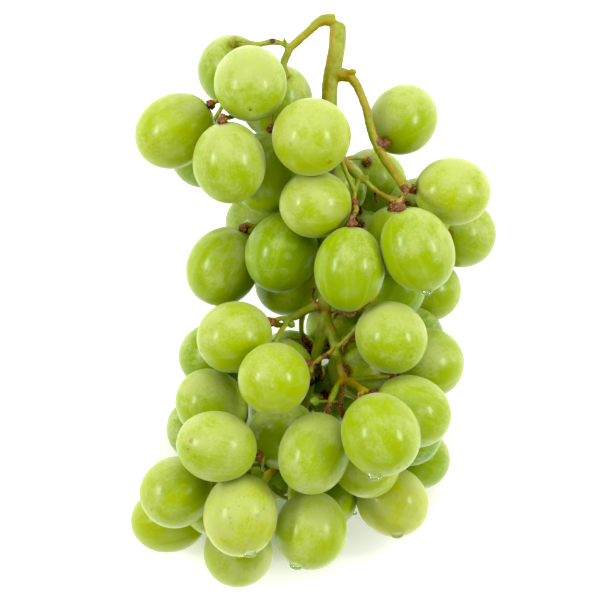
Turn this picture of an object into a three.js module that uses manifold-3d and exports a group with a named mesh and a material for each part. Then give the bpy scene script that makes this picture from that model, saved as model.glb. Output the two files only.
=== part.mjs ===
// A bunch of green table grapes, as cut, lying on its back on a flat surface.
// Millimetres, +Z up. The cut stem points along +Y, and z = 0 is the surface that the bunch lies on.
import * as THREE from 'three'
import { mergeVertices } from 'three/addons/utils/BufferGeometryUtils.js'
import Module from 'manifold-3d'

const wasm = await Module()
wasm.setup()

// Driving dimensions: berries
const pieceGap = 0.3 // left between two pieces that touch
const berrySqueeze = 0.6 // how far two touching berries press into each other
const restFlat = 0.6 // how deep the lowest berries are pressed flat by the surface
const restReach = 2.5 // a berry whose lowest point is under this sinks down until it lies on the surface
const eggShare = 0.05 // how much fuller a berry is towards its blossom end
const berrySides = 10
const berryRings = 6
const facetSwell = 1.025 // keeps the faceted berry's volume that of the round one

// Driving dimensions: wood
const pedicelRadius = 0.8
const branchPower = 0.36 // a branch's radius grows with the number of berries on it, to this power
const branchSides = 5
const branchStep = 4 // the length of a branch's straight pieces
const woodSides = 7
const receptacleRadius = 2 // the disc at the end of a pedicel that the berry sits on
const receptacleLength = 1.6
const sliver = 0.015 // joins and cuts leave edges shorter than this, which are closed up
const collarReach = 2.2 // how far in front of its berry a pedicel starts to bend
const collarRadius = 2.4 // the room that other berries leave round the stem end

// How berries settle against each other
const settleRounds = 300
const homingShare = 0.8 // the last rounds only push apart
const homingPull = 0.06 // how strongly a berry is drawn back to its place in each round
const heightPull = 0.3 // the same for its height, as a share of it
const firmness = 0.85 // how much less a berry with hold 1 slides sideways than one with hold 0

// How hidden branches find their way among the berries
const spaceLow = { x: -70, y: -100, z: 3 }
const spaceHigh = { x: 70, y: 91, z: 89 }
const gridStep = 1.5
const leastRoom = 0.35 // a branch's middle never runs nearer than this to a skin
const easyRoom = 1.5 // it likes to be this far away
const openRoom = 6 // and it doesn't leave the bunch for the open air
const tightPrice = 4
const openPrice = 0.5
const usedShare = 0.35 // what it costs to follow a branch that is already there
const endDirections = 90 // the directions that a free stem end may take
const collarRoom = 1.3
const collarHeight = 5
const smoothRounds = 60

const vec = (x, y, z) => new THREE.Vector3(x, y, z)
const up = vec(0, 0, 1)

// Berries: where the middle is (x, y and about how high), length, diameter, and which way the stem end
// points. hold is 1 for a berry that keeps its place and near 0 for one that the others push about.
const berryList = [
  // shoulder round the left arm
  { x: -14.7, y: 63.6, z: 62, long: 24, wide: 21.4, end: [0, 0.65, -0.76], hold: 1 },
  { x: -37.2, y: 50.4, z: 46, long: 25, wide: 21.6, end: [0.8, 0.57, 0.1], hold: 1 },
  { x: -20.6, y: 40.4, z: 61, long: 24.2, wide: 21.4, end: [-0.15, 0.95, 0.2], hold: 1 },
  { x: -20.4, y: 69.4, z: 27, long: 22.6, wide: 20.4, end: [0.1, 0.65, 0.75], hold: 0.8 },
  { x: 3.5, y: 47.7, z: 64, long: 24.4, wide: 22.8, end: [0.5, 0.2, -0.84], hold: 1 },
  { x: -7.8, y: 60, z: 38, long: 23.5, wide: 21.6, hold: 0.6 },
  { x: -9.6, y: 38.4, z: 40, long: 24.6, wide: 21.4, end: [0.1, 0.95, 0.2], hold: 0.7 },
  { x: -29.3, y: 45.2, z: 12, long: 22.5, wide: 20.8, hold: 0.5 },
  { x: 5.3, y: 28.1, z: 56, long: 21.5, wide: 20, hold: 1 },
  // middle
  { x: -22.8, y: 10.2, z: 36, long: 24.6, wide: 21.6, end: [0.47, 0.87, 0.12], hold: 1 },
  { x: -5.4, y: 14.4, z: 44, long: 24.4, wide: 21.6, end: [0.3, 0.9, -0.2], hold: 0.9 },
  { x: -3.6, y: 6, z: 22, long: 22.5, wide: 20.6, hold: 0.5 },
  { x: 14.5, y: 9.4, z: 59, long: 25.2, wide: 20.8, end: [0.05, 0.98, 0.12], hold: 1 },
  { x: 34.2, y: 14.7, z: 62, long: 25.6, wide: 21.3, end: [-0.38, 0.9, 0.15], hold: 1 },
  { x: 45.2, y: 32.2, z: 48, long: 23, wide: 20.2, end: [-0.97, 0.05, 0.2], hold: 1 },
  { x: 30.9, y: 54, z: 36, long: 23.4, wide: 20.2, end: [-0.44, -0.6, 0.66], hold: 1 },
  { x: 49, y: 20.8, z: 14, long: 22.5, wide: 20.8, hold: 0.8 },
  { x: 38.6, y: 1, z: 13, long: 20.5, wide: 19, hold: 0.7 },
  { x: 37.2, y: 23.7, z: 30, long: 21.5, wide: 19.6, hold: 0.4 },
  { x: 29.1, y: 18, z: 41, long: 21.4, wide: 19.6, end: [-0.08, 0.9, 0.4], hold: 0.6 },
  { x: 27, y: 3.5, z: 28, long: 21.6, wide: 19.6, hold: 0.4 },
  { x: 18.6, y: 18.6, z: 27, long: 21.5, wide: 19.6, hold: 0.5 },
  { x: 22.2, y: 35.7, z: 16, long: 24, wide: 20.6, end: [-0.2, 0.5, 0.84], hold: 0.6 },
  { x: 11.1, y: 31.8, z: 36, long: 21, wide: 19.4, hold: 0.6 },
  { x: -12.6, y: 21.6, z: 22, long: 21.5, wide: 19.6, hold: 0.3 },
  // right of the fork
  { x: 26.8, y: -10.9, z: 58, long: 22.8, wide: 20.8, end: [-0.5, 0.5, -0.7], hold: 1 },
  { x: 33.3, y: -10.8, z: 23, long: 20.6, wide: 19.4, hold: 0.6 },
  { x: 37.6, y: -19.4, z: 39, long: 22.5, wide: 21, hold: 1 },
  { x: 33, y: -32.2, z: 49, long: 24, wide: 21, end: [-0.9, 0.42, 0.1], hold: 0.9 },
  { x: 23.5, y: -39, z: 66, long: 25.4, wide: 22.9, end: [-0.4, 0.75, -0.52], hold: 1 },
  { x: 4.1, y: -44.9, z: 58, long: 25, wide: 20.8, end: [0.28, 0.9, -0.34], hold: 1 },
  { x: 11.4, y: -9.6, z: 19, long: 22.5, wide: 20.6, hold: 0.5 },
  { x: 21.6, y: -17.4, z: 33, long: 22, wide: 20, hold: 0.5 },
  { x: 9, y: -27, z: 18, long: 21.5, wide: 19.4, hold: 0.4 },
  // left of the fork
  { x: -7.6, y: -22.9, z: 64, long: 23, wide: 21, end: [0.05, 0.2, -0.97], hold: 1 },
  { x: -18.6, y: -11.1, z: 50, long: 22.8, wide: 21, end: [0.87, 0.36, -0.35], hold: 1 },
  { x: -26.1, y: -16.8, z: 28, long: 21.5, wide: 19.6, hold: 0.7 },
  { x: -25.8, y: -31.5, z: 42, long: 23.4, wide: 20.6, hold: 0.8 },
  { x: -24.4, y: -43, z: 61, long: 24, wide: 20.8, end: [0.95, -0.2, -0.2], hold: 1 },
  { x: -30, y: -39.6, z: 22, long: 21.5, wide: 19.6, hold: 0.5 },
  { x: -1.6, y: -19.5, z: 25, long: 21.5, wide: 19.4, end: [0.53, 0.35, 0.77], hold: 0.6 },
  { x: -4.6, y: -25.4, z: 40, long: 21, wide: 19, end: [0.8, 0.15, 0.58], hold: 0.4 },
  { x: -5.7, y: -37.2, z: 42, long: 22.5, wide: 20.6, hold: 0.6 },
  // foot of the bunch
  { x: -36.7, y: -57.3, z: 38, long: 22.6, wide: 21.2, end: [0.6, 0.4, -0.6], hold: 1 },
  { x: -40.2, y: -67.4, z: 12, long: 23.6, wide: 20, end: [0.95, 0.1, 0.2], hold: 0.8 },
  { x: -17.5, y: -63.4, z: 54, long: 25, wide: 22, end: [0.1, 0.95, -0.2], hold: 1 },
  { x: -18.9, y: -77, z: 12, long: 23, wide: 21.2, hold: 0.9 },
  { x: 3.3, y: -68.4, z: 44, long: 24, wide: 21.6, end: [0.1, 0.9, -0.3], hold: 1 },
  { x: 26.9, y: -60.6, z: 30, long: 23, wide: 20.8, hold: 1 },
  { x: 32.4, y: -40.2, z: 28, long: 21, wide: 19.6, hold: 0.6 },
  { x: 36.5, y: -48.5, z: 11, long: 20, wide: 18.4, hold: 0.7 },
  { x: 19.5, y: -48.3, z: 42, long: 22.5, wide: 20.4, end: [-0.45, 0.88, -0.1], hold: 0.6 },
  { x: 10.5, y: -58.5, z: 24, long: 22, wide: 20.6, hold: 0.5 },
  { x: -6.6, y: -53.4, z: 22, long: 22, wide: 20, hold: 0.5 },
  { x: -24, y: -58, z: 28, long: 21.5, wide: 20, hold: 0.2 },
  // back of the bunch
  { x: 4, y: 48, z: 12, long: 22, wide: 20, hold: 0.1 },
  { x: -19, y: -23, z: 11, long: 21, wide: 19.4, hold: 0.3 },
  { x: -14, y: -38, z: 12, long: 22, wide: 20, hold: 0.1 },
  { x: 2, y: -66, z: 14, long: 21, wide: 19.4, hold: 0.7 },
]

// The wood that leads: each run is a list of [x, y, z, radius]
const woodRuns = {
  mainStem: [[12, 82.8, 43, 1.6], [11.4, 81.4, 43, 2.5], [11.2, 79.2, 43, 2.65], [11, 75.4, 43, 2.6],
    [10.3, 71.4, 43, 2.65], [9.4, 67.6, 43, 2.5], [8.9, 64.2, 43, 2.45], [8.7, 59.6, 43, 2.4],
    [8.6, 50, 42, 2.3], [8.6, 36, 41, 2.2], [7.2, 24, 40, 2.2], [6.6, 12, 40, 2.2], [7.4, 0, 40, 2.1],
    [7.3, -6.6, 40, 2.2], [6.2, -12, 39.5, 1.9], [4.7, -16.6, 38.5, 1.6], [4, -21, 37, 1.5],
    [2, -30, 33, 1.5], [-2, -39, 30, 1.5], [-8, -50, 31, 1.4], [-13, -58, 33, 1.3]],
  leftArm: [[10.4, 83.4, 43, 2.1], [6.9, 83.4, 43.6, 1.8], [4.8, 82.2, 44.2, 1.5], [3, 80.3, 44.8, 1.3],
    [-0.1, 77.6, 45.4, 1.3], [-3, 74.9, 45.6, 1.25], [-4.5, 71.6, 45.6, 1.2], [-5.6, 67.6, 46, 1.2]],
  backArm: [[-3, 75.1, 45.4, 1], [-5.6, 76.5, 44.8, 0.8], [-8.3, 77, 43.6, 1.1], [-10.4, 76.6, 42.4, 0.9],
    [-12.5, 76.2, 41, 0.95], [-15, 76.8, 39, 0.85]],
  rightArm: [[10.4, 67.4, 43, 2.1], [13.5, 66.9, 44, 2.1], [15.2, 66.3, 45, 1.6], [17.1, 63.5, 46, 1.35],
    [18.6, 59.9, 47.5, 1.3], [19.8, 56.4, 49, 1.3], [20.5, 52.4, 50.5, 1.3], [21.6, 48.4, 52, 1.35],
    [23.2, 44.8, 53, 1.4], [25.5, 40.8, 54, 1.45], [28.2, 37.4, 54.5, 1.5], [30.5, 34.2, 54.5, 1.7],
    [31.7, 32.8, 54, 2]],
  middleSpray: [[9.4, 46, 42, 1.6], [12, 42.8, 46, 1.3], [13.4, 41, 47.4, 1.25], [15.4, 38.3, 48.2, 1.2],
    [17.9, 36, 48.8, 1.3]],
  sprayRight: [[17.7, 36.1, 48.7, 1.1], [19.4, 35.2, 49.2, 0.85], [21.6, 33, 50, 0.8],
    [24.2, 31.2, 50.4, 0.8], [26.6, 29.8, 50.3, 0.85]],
  sprayDown: [[17.6, 36.1, 48.7, 1.1], [16.9, 34.2, 49.4, 0.75], [16.2, 31.6, 51.4, 0.65],
    [15.9, 28.6, 54.6, 0.65]],
  rightFork: [[7.8, -6, 40, 1.8], [9.2, -9.4, 41, 1.7], [10.3, -13, 42, 1.55], [10.8, -16.4, 42.6, 1.45],
    [11.7, -20.1, 43.6, 1.3], [12.9, -23.8, 45, 1.5]],
  forkLeftArm: [[12.7, -23.6, 45, 1.2], [11.5, -25, 47, 1.05], [10.2, -27.1, 50, 1], [9, -29.8, 54, 1]],
  forkRightArm: [[13, -23.7, 45.2, 1.2], [15.2, -24.5, 49, 0.95], [17.2, -25.6, 54, 0.9],
    [18.3, -27, 59.6, 0.85]],
  forkBelow: [[12.9, -24, 45, 1.1], [12.4, -28.4, 45, 0.8], [12, -32.6, 45.4, 0.75]],
  arch: [[10.9, -18, 43.6, 1], [9.2, -17, 46.2, 0.85], [7.2, -16.6, 47.8, 0.8], [5.6, -17.7, 48.6, 0.8],
    [4.1, -19.5, 49.2, 0.8], [2.8, -21.6, 49.6, 0.8]],
  leftLateral: [[7, -1.4, 40.6, 1.6], [4, -2, 42, 1.3], [1.2, -3.4, 43.2, 1.25], [-1.5, -5, 44.2, 1.15],
    [-3.7, -5.6, 45.2, 1.05]],
  lateralUpper: [[-3.4, -5.6, 45.2, 0.9], [-5.4, -5.4, 47.4, 0.75], [-7, -5.9, 49.6, 0.75]],
  lateralLower: [[-3.4, -5.9, 45.2, 0.9], [-4.6, -7.8, 47.6, 0.75], [-6.1, -9.8, 50.8, 0.75],
    [-7.2, -12, 53.2, 0.7]],
  lateralHook: [[0.9, -3.6, 43, 1], [0.4, -6.6, 41.4, 0.8], [0.4, -9.4, 39.4, 0.75], [1.3, -12, 36.6, 0.75]],
}

// A berry's half width along a unit direction
function reach(berry, along) {
  const lengthways = along.dot(berry.axis)
  const { halfLength, radius } = berry
  return Math.sqrt(radius ** 2 + (halfLength ** 2 - radius ** 2) * lengthways ** 2)
}

// The nearest point of a straight run of wood, and the wood's radius there
function nearestOnRun(from, to, point) {
  const run = vec().subVectors(to.at, from.at)
  const share = THREE.MathUtils.clamp(vec().subVectors(point, from.at).dot(run) / run.lengthSq(), 0, 1)
  const at = run.multiplyScalar(share).add(from.at)
  return { at, radius: THREE.MathUtils.lerp(from.radius, to.radius, share), distance: at.distanceTo(point) }
}

function eachRunPiece(runs, visit) {
  for (const run of runs) {
    for (let i = 1; i < run.length; i++) {
      visit(run[i - 1], run[i])
    }
  }
}

function nearestWood(point, runs) {
  let best = null
  eachRunPiece(runs, (from, to) => {
    const found = nearestOnRun(from, to, point)
    if (!best || found.distance < best.distance) {
      best = found
    }
  })
  return best
}

function makeBerries(list, runs) {
  return list.map((item) => {
    const at = vec(item.x, item.y, item.z)
    const toWood = vec().subVectors(nearestWood(at, runs).at, at).normalize()
    return {
      at,
      home: at.clone(),
      hold: item.hold,
      slide: 1 - firmness * item.hold,
      halfLength: item.long / 2,
      radius: item.wide / 2,
      fixedEnd: Boolean(item.end),
      axis: item.end ? vec(...item.end).normalize() : toWood,
    }
  })
}

// Moves two pieces apart along a direction, more up and down than sideways. other is null for wood.
function moveApart(berry, other, along, overlap) {
  const spread = (each) => vec(along.x * each.slide, along.y * each.slide, along.z)
  const mine = spread(berry)
  const theirs = other ? spread(other) : vec()
  const step = overlap / along.dot(vec().addVectors(mine, theirs))
  berry.at.addScaledVector(mine, -step)
  if (other) {
    other.at.addScaledVector(theirs, step)
  }
}

function keepClear(berry, other, from, to, room) {
  const between = vec().subVectors(to, from)
  const distance = between.length()
  between.divideScalar(distance)
  const overlap = room(between) - distance
  if (overlap > 0) {
    moveApart(berry, other, between, overlap)
  }
}

const collarOf = (berry) => vec().copy(berry.at).addScaledVector(berry.axis, berry.halfLength + collarReach)

// Berries push each other and the wood apart, and stay near their places
function settle(berries, runs, rounds) {
  for (let round = 0; round < rounds; round++) {
    const homing = round < rounds * homingShare ? homingPull : 0
    for (const berry of berries) {
      const pull = vec().subVectors(berry.home, berry.at).multiplyScalar(homing)
      berry.at.add(vec(pull.x * berry.hold, pull.y * berry.hold, pull.z * heightPull))
      const lowest = berry.at.z - reach(berry, up)
      if (lowest < restReach) {
        berry.at.z -= lowest + restFlat
      }
      eachRunPiece(runs, (from, to) => {
        const wood = nearestOnRun(from, to, berry.at)
        keepClear(berry, null, berry.at, wood.at, (along) => reach(berry, along) + wood.radius + pieceGap)
      })
    }
    berries.forEach((berry, index) => {
      for (const other of berries.slice(index + 1)) {
        const touching = (along) => reach(berry, along) + reach(other, along) - berrySqueeze
        keepClear(berry, other, berry.at, other.at, touching)
      }
    })
    for (const berry of berries) {
      const collar = collarOf(berry)
      for (const other of berries) {
        if (other !== berry) {
          keepClear(berry, other, collar, other.at, (along) => reach(other, along) + collarRadius)
        }
      }
    }
  }
}

// How far a point is from a berry's skin
function gapTo(berry, point) {
  const out = vec().subVectors(point, berry.at)
  const distance = out.length()
  const lengthways = out.dot(berry.axis) / distance
  const across = 1 - lengthways ** 2
  return distance - 1 / Math.sqrt((lengthways / berry.halfLength) ** 2 + across / berry.radius ** 2)
}

// The open space among the berries, as a grid of cells that hold the distance to the nearest skin
function makeSpace(berries) {
  const low = vec(spaceLow.x, spaceLow.y, spaceLow.z)
  const size = ['x', 'y', 'z'].map((axis) => Math.ceil((spaceHigh[axis] - spaceLow[axis]) / gridStep))
  const count = size[0] * size[1] * size[2]
  const room = new Float32Array(count).fill(openRoom)
  const indexOf = (i, j, k) => (k * size[1] + j) * size[0] + i
  const centre = (i, j, k) => vec(low.x + i * gridStep, low.y + j * gridStep, low.z + k * gridStep)
  const cellsOf = (point) => point.clone().sub(low).divideScalar(gridStep).round()
  for (const berry of berries) {
    const half = berry.halfLength + openRoom
    const first = cellsOf(berry.at.clone().subScalar(half)).max(vec())
    const last = cellsOf(berry.at.clone().addScalar(half))
    for (let k = first.z; k <= Math.min(last.z, size[2] - 1); k++) {
      for (let j = first.y; j <= Math.min(last.y, size[1] - 1); j++) {
        for (let i = first.x; i <= Math.min(last.x, size[0] - 1); i++) {
          const index = indexOf(i, j, k)
          room[index] = Math.min(room[index], gapTo(berry, centre(i, j, k)))
        }
      }
    }
  }
  const placeOf = (index) => {
    const row = Math.floor(index / size[0])
    return centre(index % size[0], row % size[1], Math.floor(row / size[1]))
  }
  const at = (point) => {
    const { x, y, z } = cellsOf(point)
    return indexOf(x, y, z)
  }
  return { count, room, indexOf, placeOf, at }
}

// A heap of cells, the cheapest first
class Heap {
  items = []

  push(index, cost) {
    const { items } = this
    items.push([index, cost])
    let child = items.length - 1
    while (child > 0) {
      const parent = (child - 1) >> 1
      if (items[parent][1] <= items[child][1]) {
        break
      }
      [items[parent], items[child]] = [items[child], items[parent]]
      child = parent
    }
  }

  pop() {
    const { items } = this
    const top = items[0]
    const end = items.pop()
    if (items.length) {
      items[0] = end
      let parent = 0
      while (true) {
        let child = 2 * parent + 1
        if (child >= items.length) {
          break
        }
        if (child + 1 < items.length && items[child + 1][1] < items[child][1]) {
          child++
        }
        if (items[parent][1] <= items[child][1]) {
          break
        }
        [items[parent], items[child]] = [items[child], items[parent]]
        parent = child
      }
    }
    return top
  }
}

// The cheapest way from every open cell to the wood. Tight and wide open places cost more, used ones less.
function growWays(space, runs, used) {
  const cost = new Float64Array(space.count).fill(Infinity)
  const next = new Int32Array(space.count).fill(-1)
  const heap = new Heap()
  eachRunPiece(runs, (from, to) => {
    const steps = Math.ceil(from.at.distanceTo(to.at) / gridStep)
    for (let step = 0; step <= steps; step++) {
      const index = space.at(vec().lerpVectors(from.at, to.at, step / steps))
      if (cost[index] !== 0) {
        cost[index] = 0
        heap.push(index, 0)
      }
    }
  })
  const moves = []
  for (const k of [-1, 0, 1]) {
    for (const j of [-1, 0, 1]) {
      for (const i of [-1, 0, 1]) {
        if (i || j || k) {
          moves.push({ by: space.indexOf(i, j, k), length: Math.hypot(i, j, k) * gridStep })
        }
      }
    }
  }
  while (heap.items.length) {
    const [index, reached] = heap.pop()
    if (reached > cost[index]) {
      continue
    }
    for (const { by, length } of moves) {
      const other = index + by
      const room = space.room[other]
      if (!(room > leastRoom && room < openRoom)) {
        continue
      }
      const tight = Math.max(0, easyRoom - room)
      const open = Math.max(0, room - easyRoom)
      const weight = (1 + tightPrice * tight ** 2 + openPrice * open) * (used.has(other) ? usedShare : 1)
      const total = reached + length * weight
      if (total < cost[other]) {
        cost[other] = total
        next[other] = index
        heap.push(other, total)
      }
    }
  }
  return { cost, next }
}

// Evenly spread directions
function directions(count) {
  const turn = Math.PI * (3 - Math.sqrt(5))
  return Array.from({ length: count }, (_, i) => {
    const z = 1 - (2 * i + 1) / count
    const flat = Math.sqrt(1 - z * z)
    return vec(flat * Math.cos(turn * i), flat * Math.sin(turn * i), z)
  })
}

// A berry whose stem end is free turns it to where the way to the wood is short
function turnStemEnds(berries, space, ways) {
  for (const berry of berries.filter((each) => !each.fixedEnd)) {
    let best = Infinity
    let chosen = berry.axis
    const rivals = berries.filter((each) => each !== berry)
    for (const direction of directions(endDirections)) {
      const collar = berry.at.clone().addScaledVector(direction, berry.halfLength + collarReach)
      const room = Math.min(...rivals.map((each) => gapTo(each, collar)))
      const index = space.at(collar)
      if (room > collarRoom && collar.z > collarHeight && ways.cost[index] < best) {
        best = ways.cost[index]
        chosen = direction
      }
    }
    berry.axis = chosen.clone()
  }
}

// The branches as a tree of joints, each with the number of berries that it carries
function growTree(berries, space, ways, runs) {
  const joints = new Map()
  const tips = []
  for (const berry of berries) {
    const collar = collarOf(berry)
    const tip = { at: collar, berry, load: 1, parent: null, children: [] }
    let lower = tip
    let index = ways.next[space.at(collar)]
    while (index >= 0 && ways.cost[index] > 0) {
      let joint = joints.get(index)
      if (!joint) {
        joint = { at: space.placeOf(index), load: 0, parent: null, children: [] }
        joints.set(index, joint)
      }
      if (!lower.parent) {
        lower.parent = joint
        joint.children.push(lower)
      }
      joint.load++
      lower = joint
      index = ways.next[index]
    }
    if (!lower.parent) {
      lower.parent = { at: nearestWood(lower.at, runs).at, children: [] }
    }
    tips.push(tip)
  }
  return { joints: [...joints.values()], tips }
}

function smoothTree(tree, berries) {
  for (let round = 0; round < smoothRounds; round++) {
    for (const joint of tree.joints) {
      const middle = joint.parent.at.clone().multiplyScalar(joint.children.length)
      for (const child of joint.children) {
        middle.add(child.at)
      }
      middle.divideScalar(2 * joint.children.length)
      joint.at.lerp(middle, 0.5)
      for (const berry of berries) {
        const gap = gapTo(berry, joint.at)
        if (gap < easyRoom) {
          const away = vec().subVectors(joint.at, berry.at).normalize()
          joint.at.addScaledVector(away, (easyRoom - gap) * 0.5)
        }
      }
    }
  }
}


function makeSolid(geometry) {
  for (const name of Object.keys(geometry.attributes).filter((each) => each !== 'position')) {
    geometry.deleteAttribute(name)
  }
  const merged = mergeVertices(geometry, 1e-4)
  const triangles = [...merged.index.array]
  const corners = []
  for (let i = 0; i < triangles.length; i += 3) {
    const [a, b, c] = triangles.slice(i, i + 3)
    if (a !== b && b !== c && c !== a) {
      corners.push(a, b, c)
    }
  }
  return new wasm.Manifold(new wasm.Mesh({
    numProp: 3,
    vertProperties: Float32Array.from(merged.attributes.position.array),
    triVerts: Uint32Array.from(corners),
  }))
}

function makeMesh(name, solid, material, centre = vec()) {
  const { vertProperties, triVerts } = solid.getMesh()
  const geometry = new THREE.BufferGeometry()
  geometry.setAttribute('position', new THREE.BufferAttribute(vertProperties, 3))
  geometry.setIndex(new THREE.BufferAttribute(triVerts, 1))
  geometry.translate(-centre.x, -centre.y, -centre.z)
  geometry.computeVertexNormals()
  const mesh = new THREE.Mesh(geometry, material)
  mesh.name = name
  mesh.position.copy(centre)
  return mesh
}

// A berry turned on its own axis, a little fuller towards the blossom end, grown by a margin
function berrySolid(berry, margin = 0) {
  const profile = Array.from({ length: berryRings + 1 }, (_, ring) => {
    const turn = Math.PI * (1 - ring / berryRings)
    const fuller = Math.sqrt(1 - eggShare * Math.cos(turn))
    const across = (berry.radius * facetSwell + margin) * Math.sin(turn) * fuller
    return new THREE.Vector2(Math.max(0, across), (berry.halfLength * facetSwell + margin) * Math.cos(turn))
  })
  profile[0].x = 0
  profile[berryRings].x = 0
  const geometry = new THREE.LatheGeometry(profile, berrySides)
  geometry.applyQuaternion(new THREE.Quaternion().setFromUnitVectors(vec(0, 1, 0), berry.axis))
  geometry.translate(berry.at.x, berry.at.y, berry.at.z)
  return makeSolid(geometry)
}

// The furthest that a solid reaches along a direction
function furthest(solid, along) {
  const { vertProperties } = solid.getMesh()
  let best = -Infinity
  for (let i = 0; i < vertProperties.length; i += 3) {
    const [x, y, z] = vertProperties.slice(i, i + 3)
    best = Math.max(best, x * along.x + y * along.y + z * along.z)
  }
  return best
}

// Where berries press on each other or on the surface they are flat
function pressFlat(berries) {
  const solids = berries.map((berry) => berrySolid(berry))
  for (let i = 0; i < berries.length; i++) {
    solids[i] = solids[i].trimByPlane([0, 0, 1], 0)
    for (let j = i + 1; j < berries.length; j++) {
      const between = vec().subVectors(berries[j].at, berries[i].at)
      if (between.length() > 2 * berries[i].halfLength + 2 * berries[j].halfLength) {
        continue
      }
      between.normalize()
      const end = furthest(solids[i], between)
      const start = -furthest(solids[j], between.clone().negate())
      if (start - end < pieceGap) {
        const middle = (start + end) / 2
        solids[i] = solids[i].trimByPlane(between.clone().negate().toArray(), pieceGap / 2 - middle)
        solids[j] = solids[j].trimByPlane(between.toArray(), middle + pieceGap / 2)
      }
    }
  }
  return solids
}

// A closed tube through the points, with a radius at each
function tubeSolid(points, radii, sides) {
  const last = points.length - 1
  const positions = []
  const heading = vec()
  const side = vec(1, 0, 0)
  points.forEach((point, i) => {
    heading.subVectors(points[Math.min(i + 1, last)], points[Math.max(i - 1, 0)]).normalize()
    if (i === 0 && Math.abs(heading.x) > 0.9) {
      side.set(0, 1, 0)
    }
    side.addScaledVector(heading, -side.dot(heading)).normalize()
    const other = vec().crossVectors(heading, side)
    for (let k = 0; k < sides; k++) {
      const turn = (2 * Math.PI * k) / sides
      const corner = point.clone()
      corner.addScaledVector(side, radii[i] * Math.cos(turn))
      corner.addScaledVector(other, radii[i] * Math.sin(turn))
      positions.push(...corner.toArray())
    }
  })
  const corners = []
  for (let k = 1; k < sides - 1; k++) {
    corners.push(0, k + 1, k)
    corners.push(last * sides, last * sides + k, last * sides + k + 1)
  }
  for (let i = 0; i < last; i++) {
    for (let k = 0; k < sides; k++) {
      const here = i * sides + k
      const beside = i * sides + ((k + 1) % sides)
      corners.push(here, beside, beside + sides, here, beside + sides, here + sides)
    }
  }
  const geometry = new THREE.BufferGeometry()
  geometry.setAttribute('position', new THREE.Float32BufferAttribute(positions, 3))
  geometry.setIndex(corners)
  return makeSolid(geometry)
}

// A branch runs from its lower joint up to the next fork, or flares to the disc that its berry sits on
function branchSolid(top) {
  const points = [top.at.clone()]
  const radius = pedicelRadius * top.load ** branchPower
  let lower = top
  do {
    lower = lower.parent
    points.unshift(lower.at.clone())
  } while (lower.children.length === 1)
  const curve = new THREE.CatmullRomCurve3(points, false, 'centripetal')
  const pieces = Math.max(1, Math.round(curve.getLength() / branchStep))
  const route = curve.getSpacedPoints(pieces)
  const radii = route.map(() => radius)
  if (top.berry) {
    const { berry } = top
    const along = (distance) => berry.at.clone().addScaledVector(berry.axis, distance)
    const skin = berry.halfLength * facetSwell
    route.push(along(skin + receptacleLength), along(skin + 0.3 * receptacleLength), along(skin))
    radii.push(radius, receptacleRadius * 0.9, receptacleRadius)
  } else {
    const heading = curve.getTangent(1)
    route.push(route.at(-1).clone().addScaledVector(heading, radius * 0.7))
    radii.push(radius * 0.9)
  }
  return tubeSolid(route, radii, branchSides)
}

function stemSolid(berries, runs, tree) {
  const wood = runs.map((run) => {
    const points = run.map((each) => each.at)
    const radii = run.map((each) => each.radius)
    return tubeSolid(points, radii, woodSides)
  })
  const forks = tree.joints.filter((joint) => joint.children.length > 1)
  const branches = [...forks, ...tree.tips].map(branchSolid)
  const room = wasm.Manifold.union(berries.map((berry) => berrySolid(berry, pieceGap * 1.15)))
  const whole = wasm.Manifold.union([...wood, ...branches]).subtract(room).simplify(sliver)
  return whole.decompose().sort((a, b) => b.volume() - a.volume())[0]
}

const woodPoint = ([x, y, z, radius]) => ({ at: vec(x, y, z), radius })
const runs = Object.values(woodRuns).map((run) => run.map(woodPoint))
const berries = makeBerries(berryList, runs)
settle(berries, runs, settleRounds)
let space = makeSpace(berries)
let ways = growWays(space, runs, new Set())
turnStemEnds(berries, space, ways)
settle(berries, runs, settleRounds)
space = makeSpace(berries)
ways = growWays(space, runs, new Set())
let tree = growTree(berries, space, ways, runs)
ways = growWays(space, runs, new Set(tree.joints.map((joint) => space.at(joint.at))))
tree = growTree(berries, space, ways, runs)
smoothTree(tree, berries)

const stemMaterial = new THREE.MeshStandardMaterial({ color: 0x7f8f2f, roughness: 0.75, metalness: 0 })
const bunch = new THREE.Group()
bunch.add(makeMesh('stem', stemSolid(berries, runs, tree), stemMaterial))
pressFlat(berries).forEach((solid, index) => {
  const material = new THREE.MeshStandardMaterial({ color: 0xa9bf3f, roughness: 0.35, metalness: 0 })
  const name = `berry_${String(index + 1).padStart(2, '0')}`
  bunch.add(makeMesh(name, solid, material, berries[index].at))
})

const box = new THREE.Box3().setFromObject(bunch)
const middle = box.getCenter(vec())
bunch.position.set(-middle.x, -middle.y, 0)

export default bunch
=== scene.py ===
import math

import bmesh
import bpy
import numpy as np
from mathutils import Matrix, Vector, noise
from mathutils.bvhtree import BVHTree


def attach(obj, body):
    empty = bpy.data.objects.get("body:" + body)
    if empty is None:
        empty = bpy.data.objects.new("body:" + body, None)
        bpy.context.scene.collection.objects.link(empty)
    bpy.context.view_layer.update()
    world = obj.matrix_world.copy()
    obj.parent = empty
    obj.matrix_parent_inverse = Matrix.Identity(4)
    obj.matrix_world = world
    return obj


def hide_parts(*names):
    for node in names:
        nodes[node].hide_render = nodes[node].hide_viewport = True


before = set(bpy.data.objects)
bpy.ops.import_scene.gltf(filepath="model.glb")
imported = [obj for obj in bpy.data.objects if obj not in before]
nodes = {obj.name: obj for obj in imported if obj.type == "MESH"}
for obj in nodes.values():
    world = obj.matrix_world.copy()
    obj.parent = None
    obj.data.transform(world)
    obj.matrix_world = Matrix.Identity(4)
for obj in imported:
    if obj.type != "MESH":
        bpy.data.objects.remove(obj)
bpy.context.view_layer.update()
print("frame loaded,", len(nodes), "solids")

mm = 0.001
scene = bpy.context.scene


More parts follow.
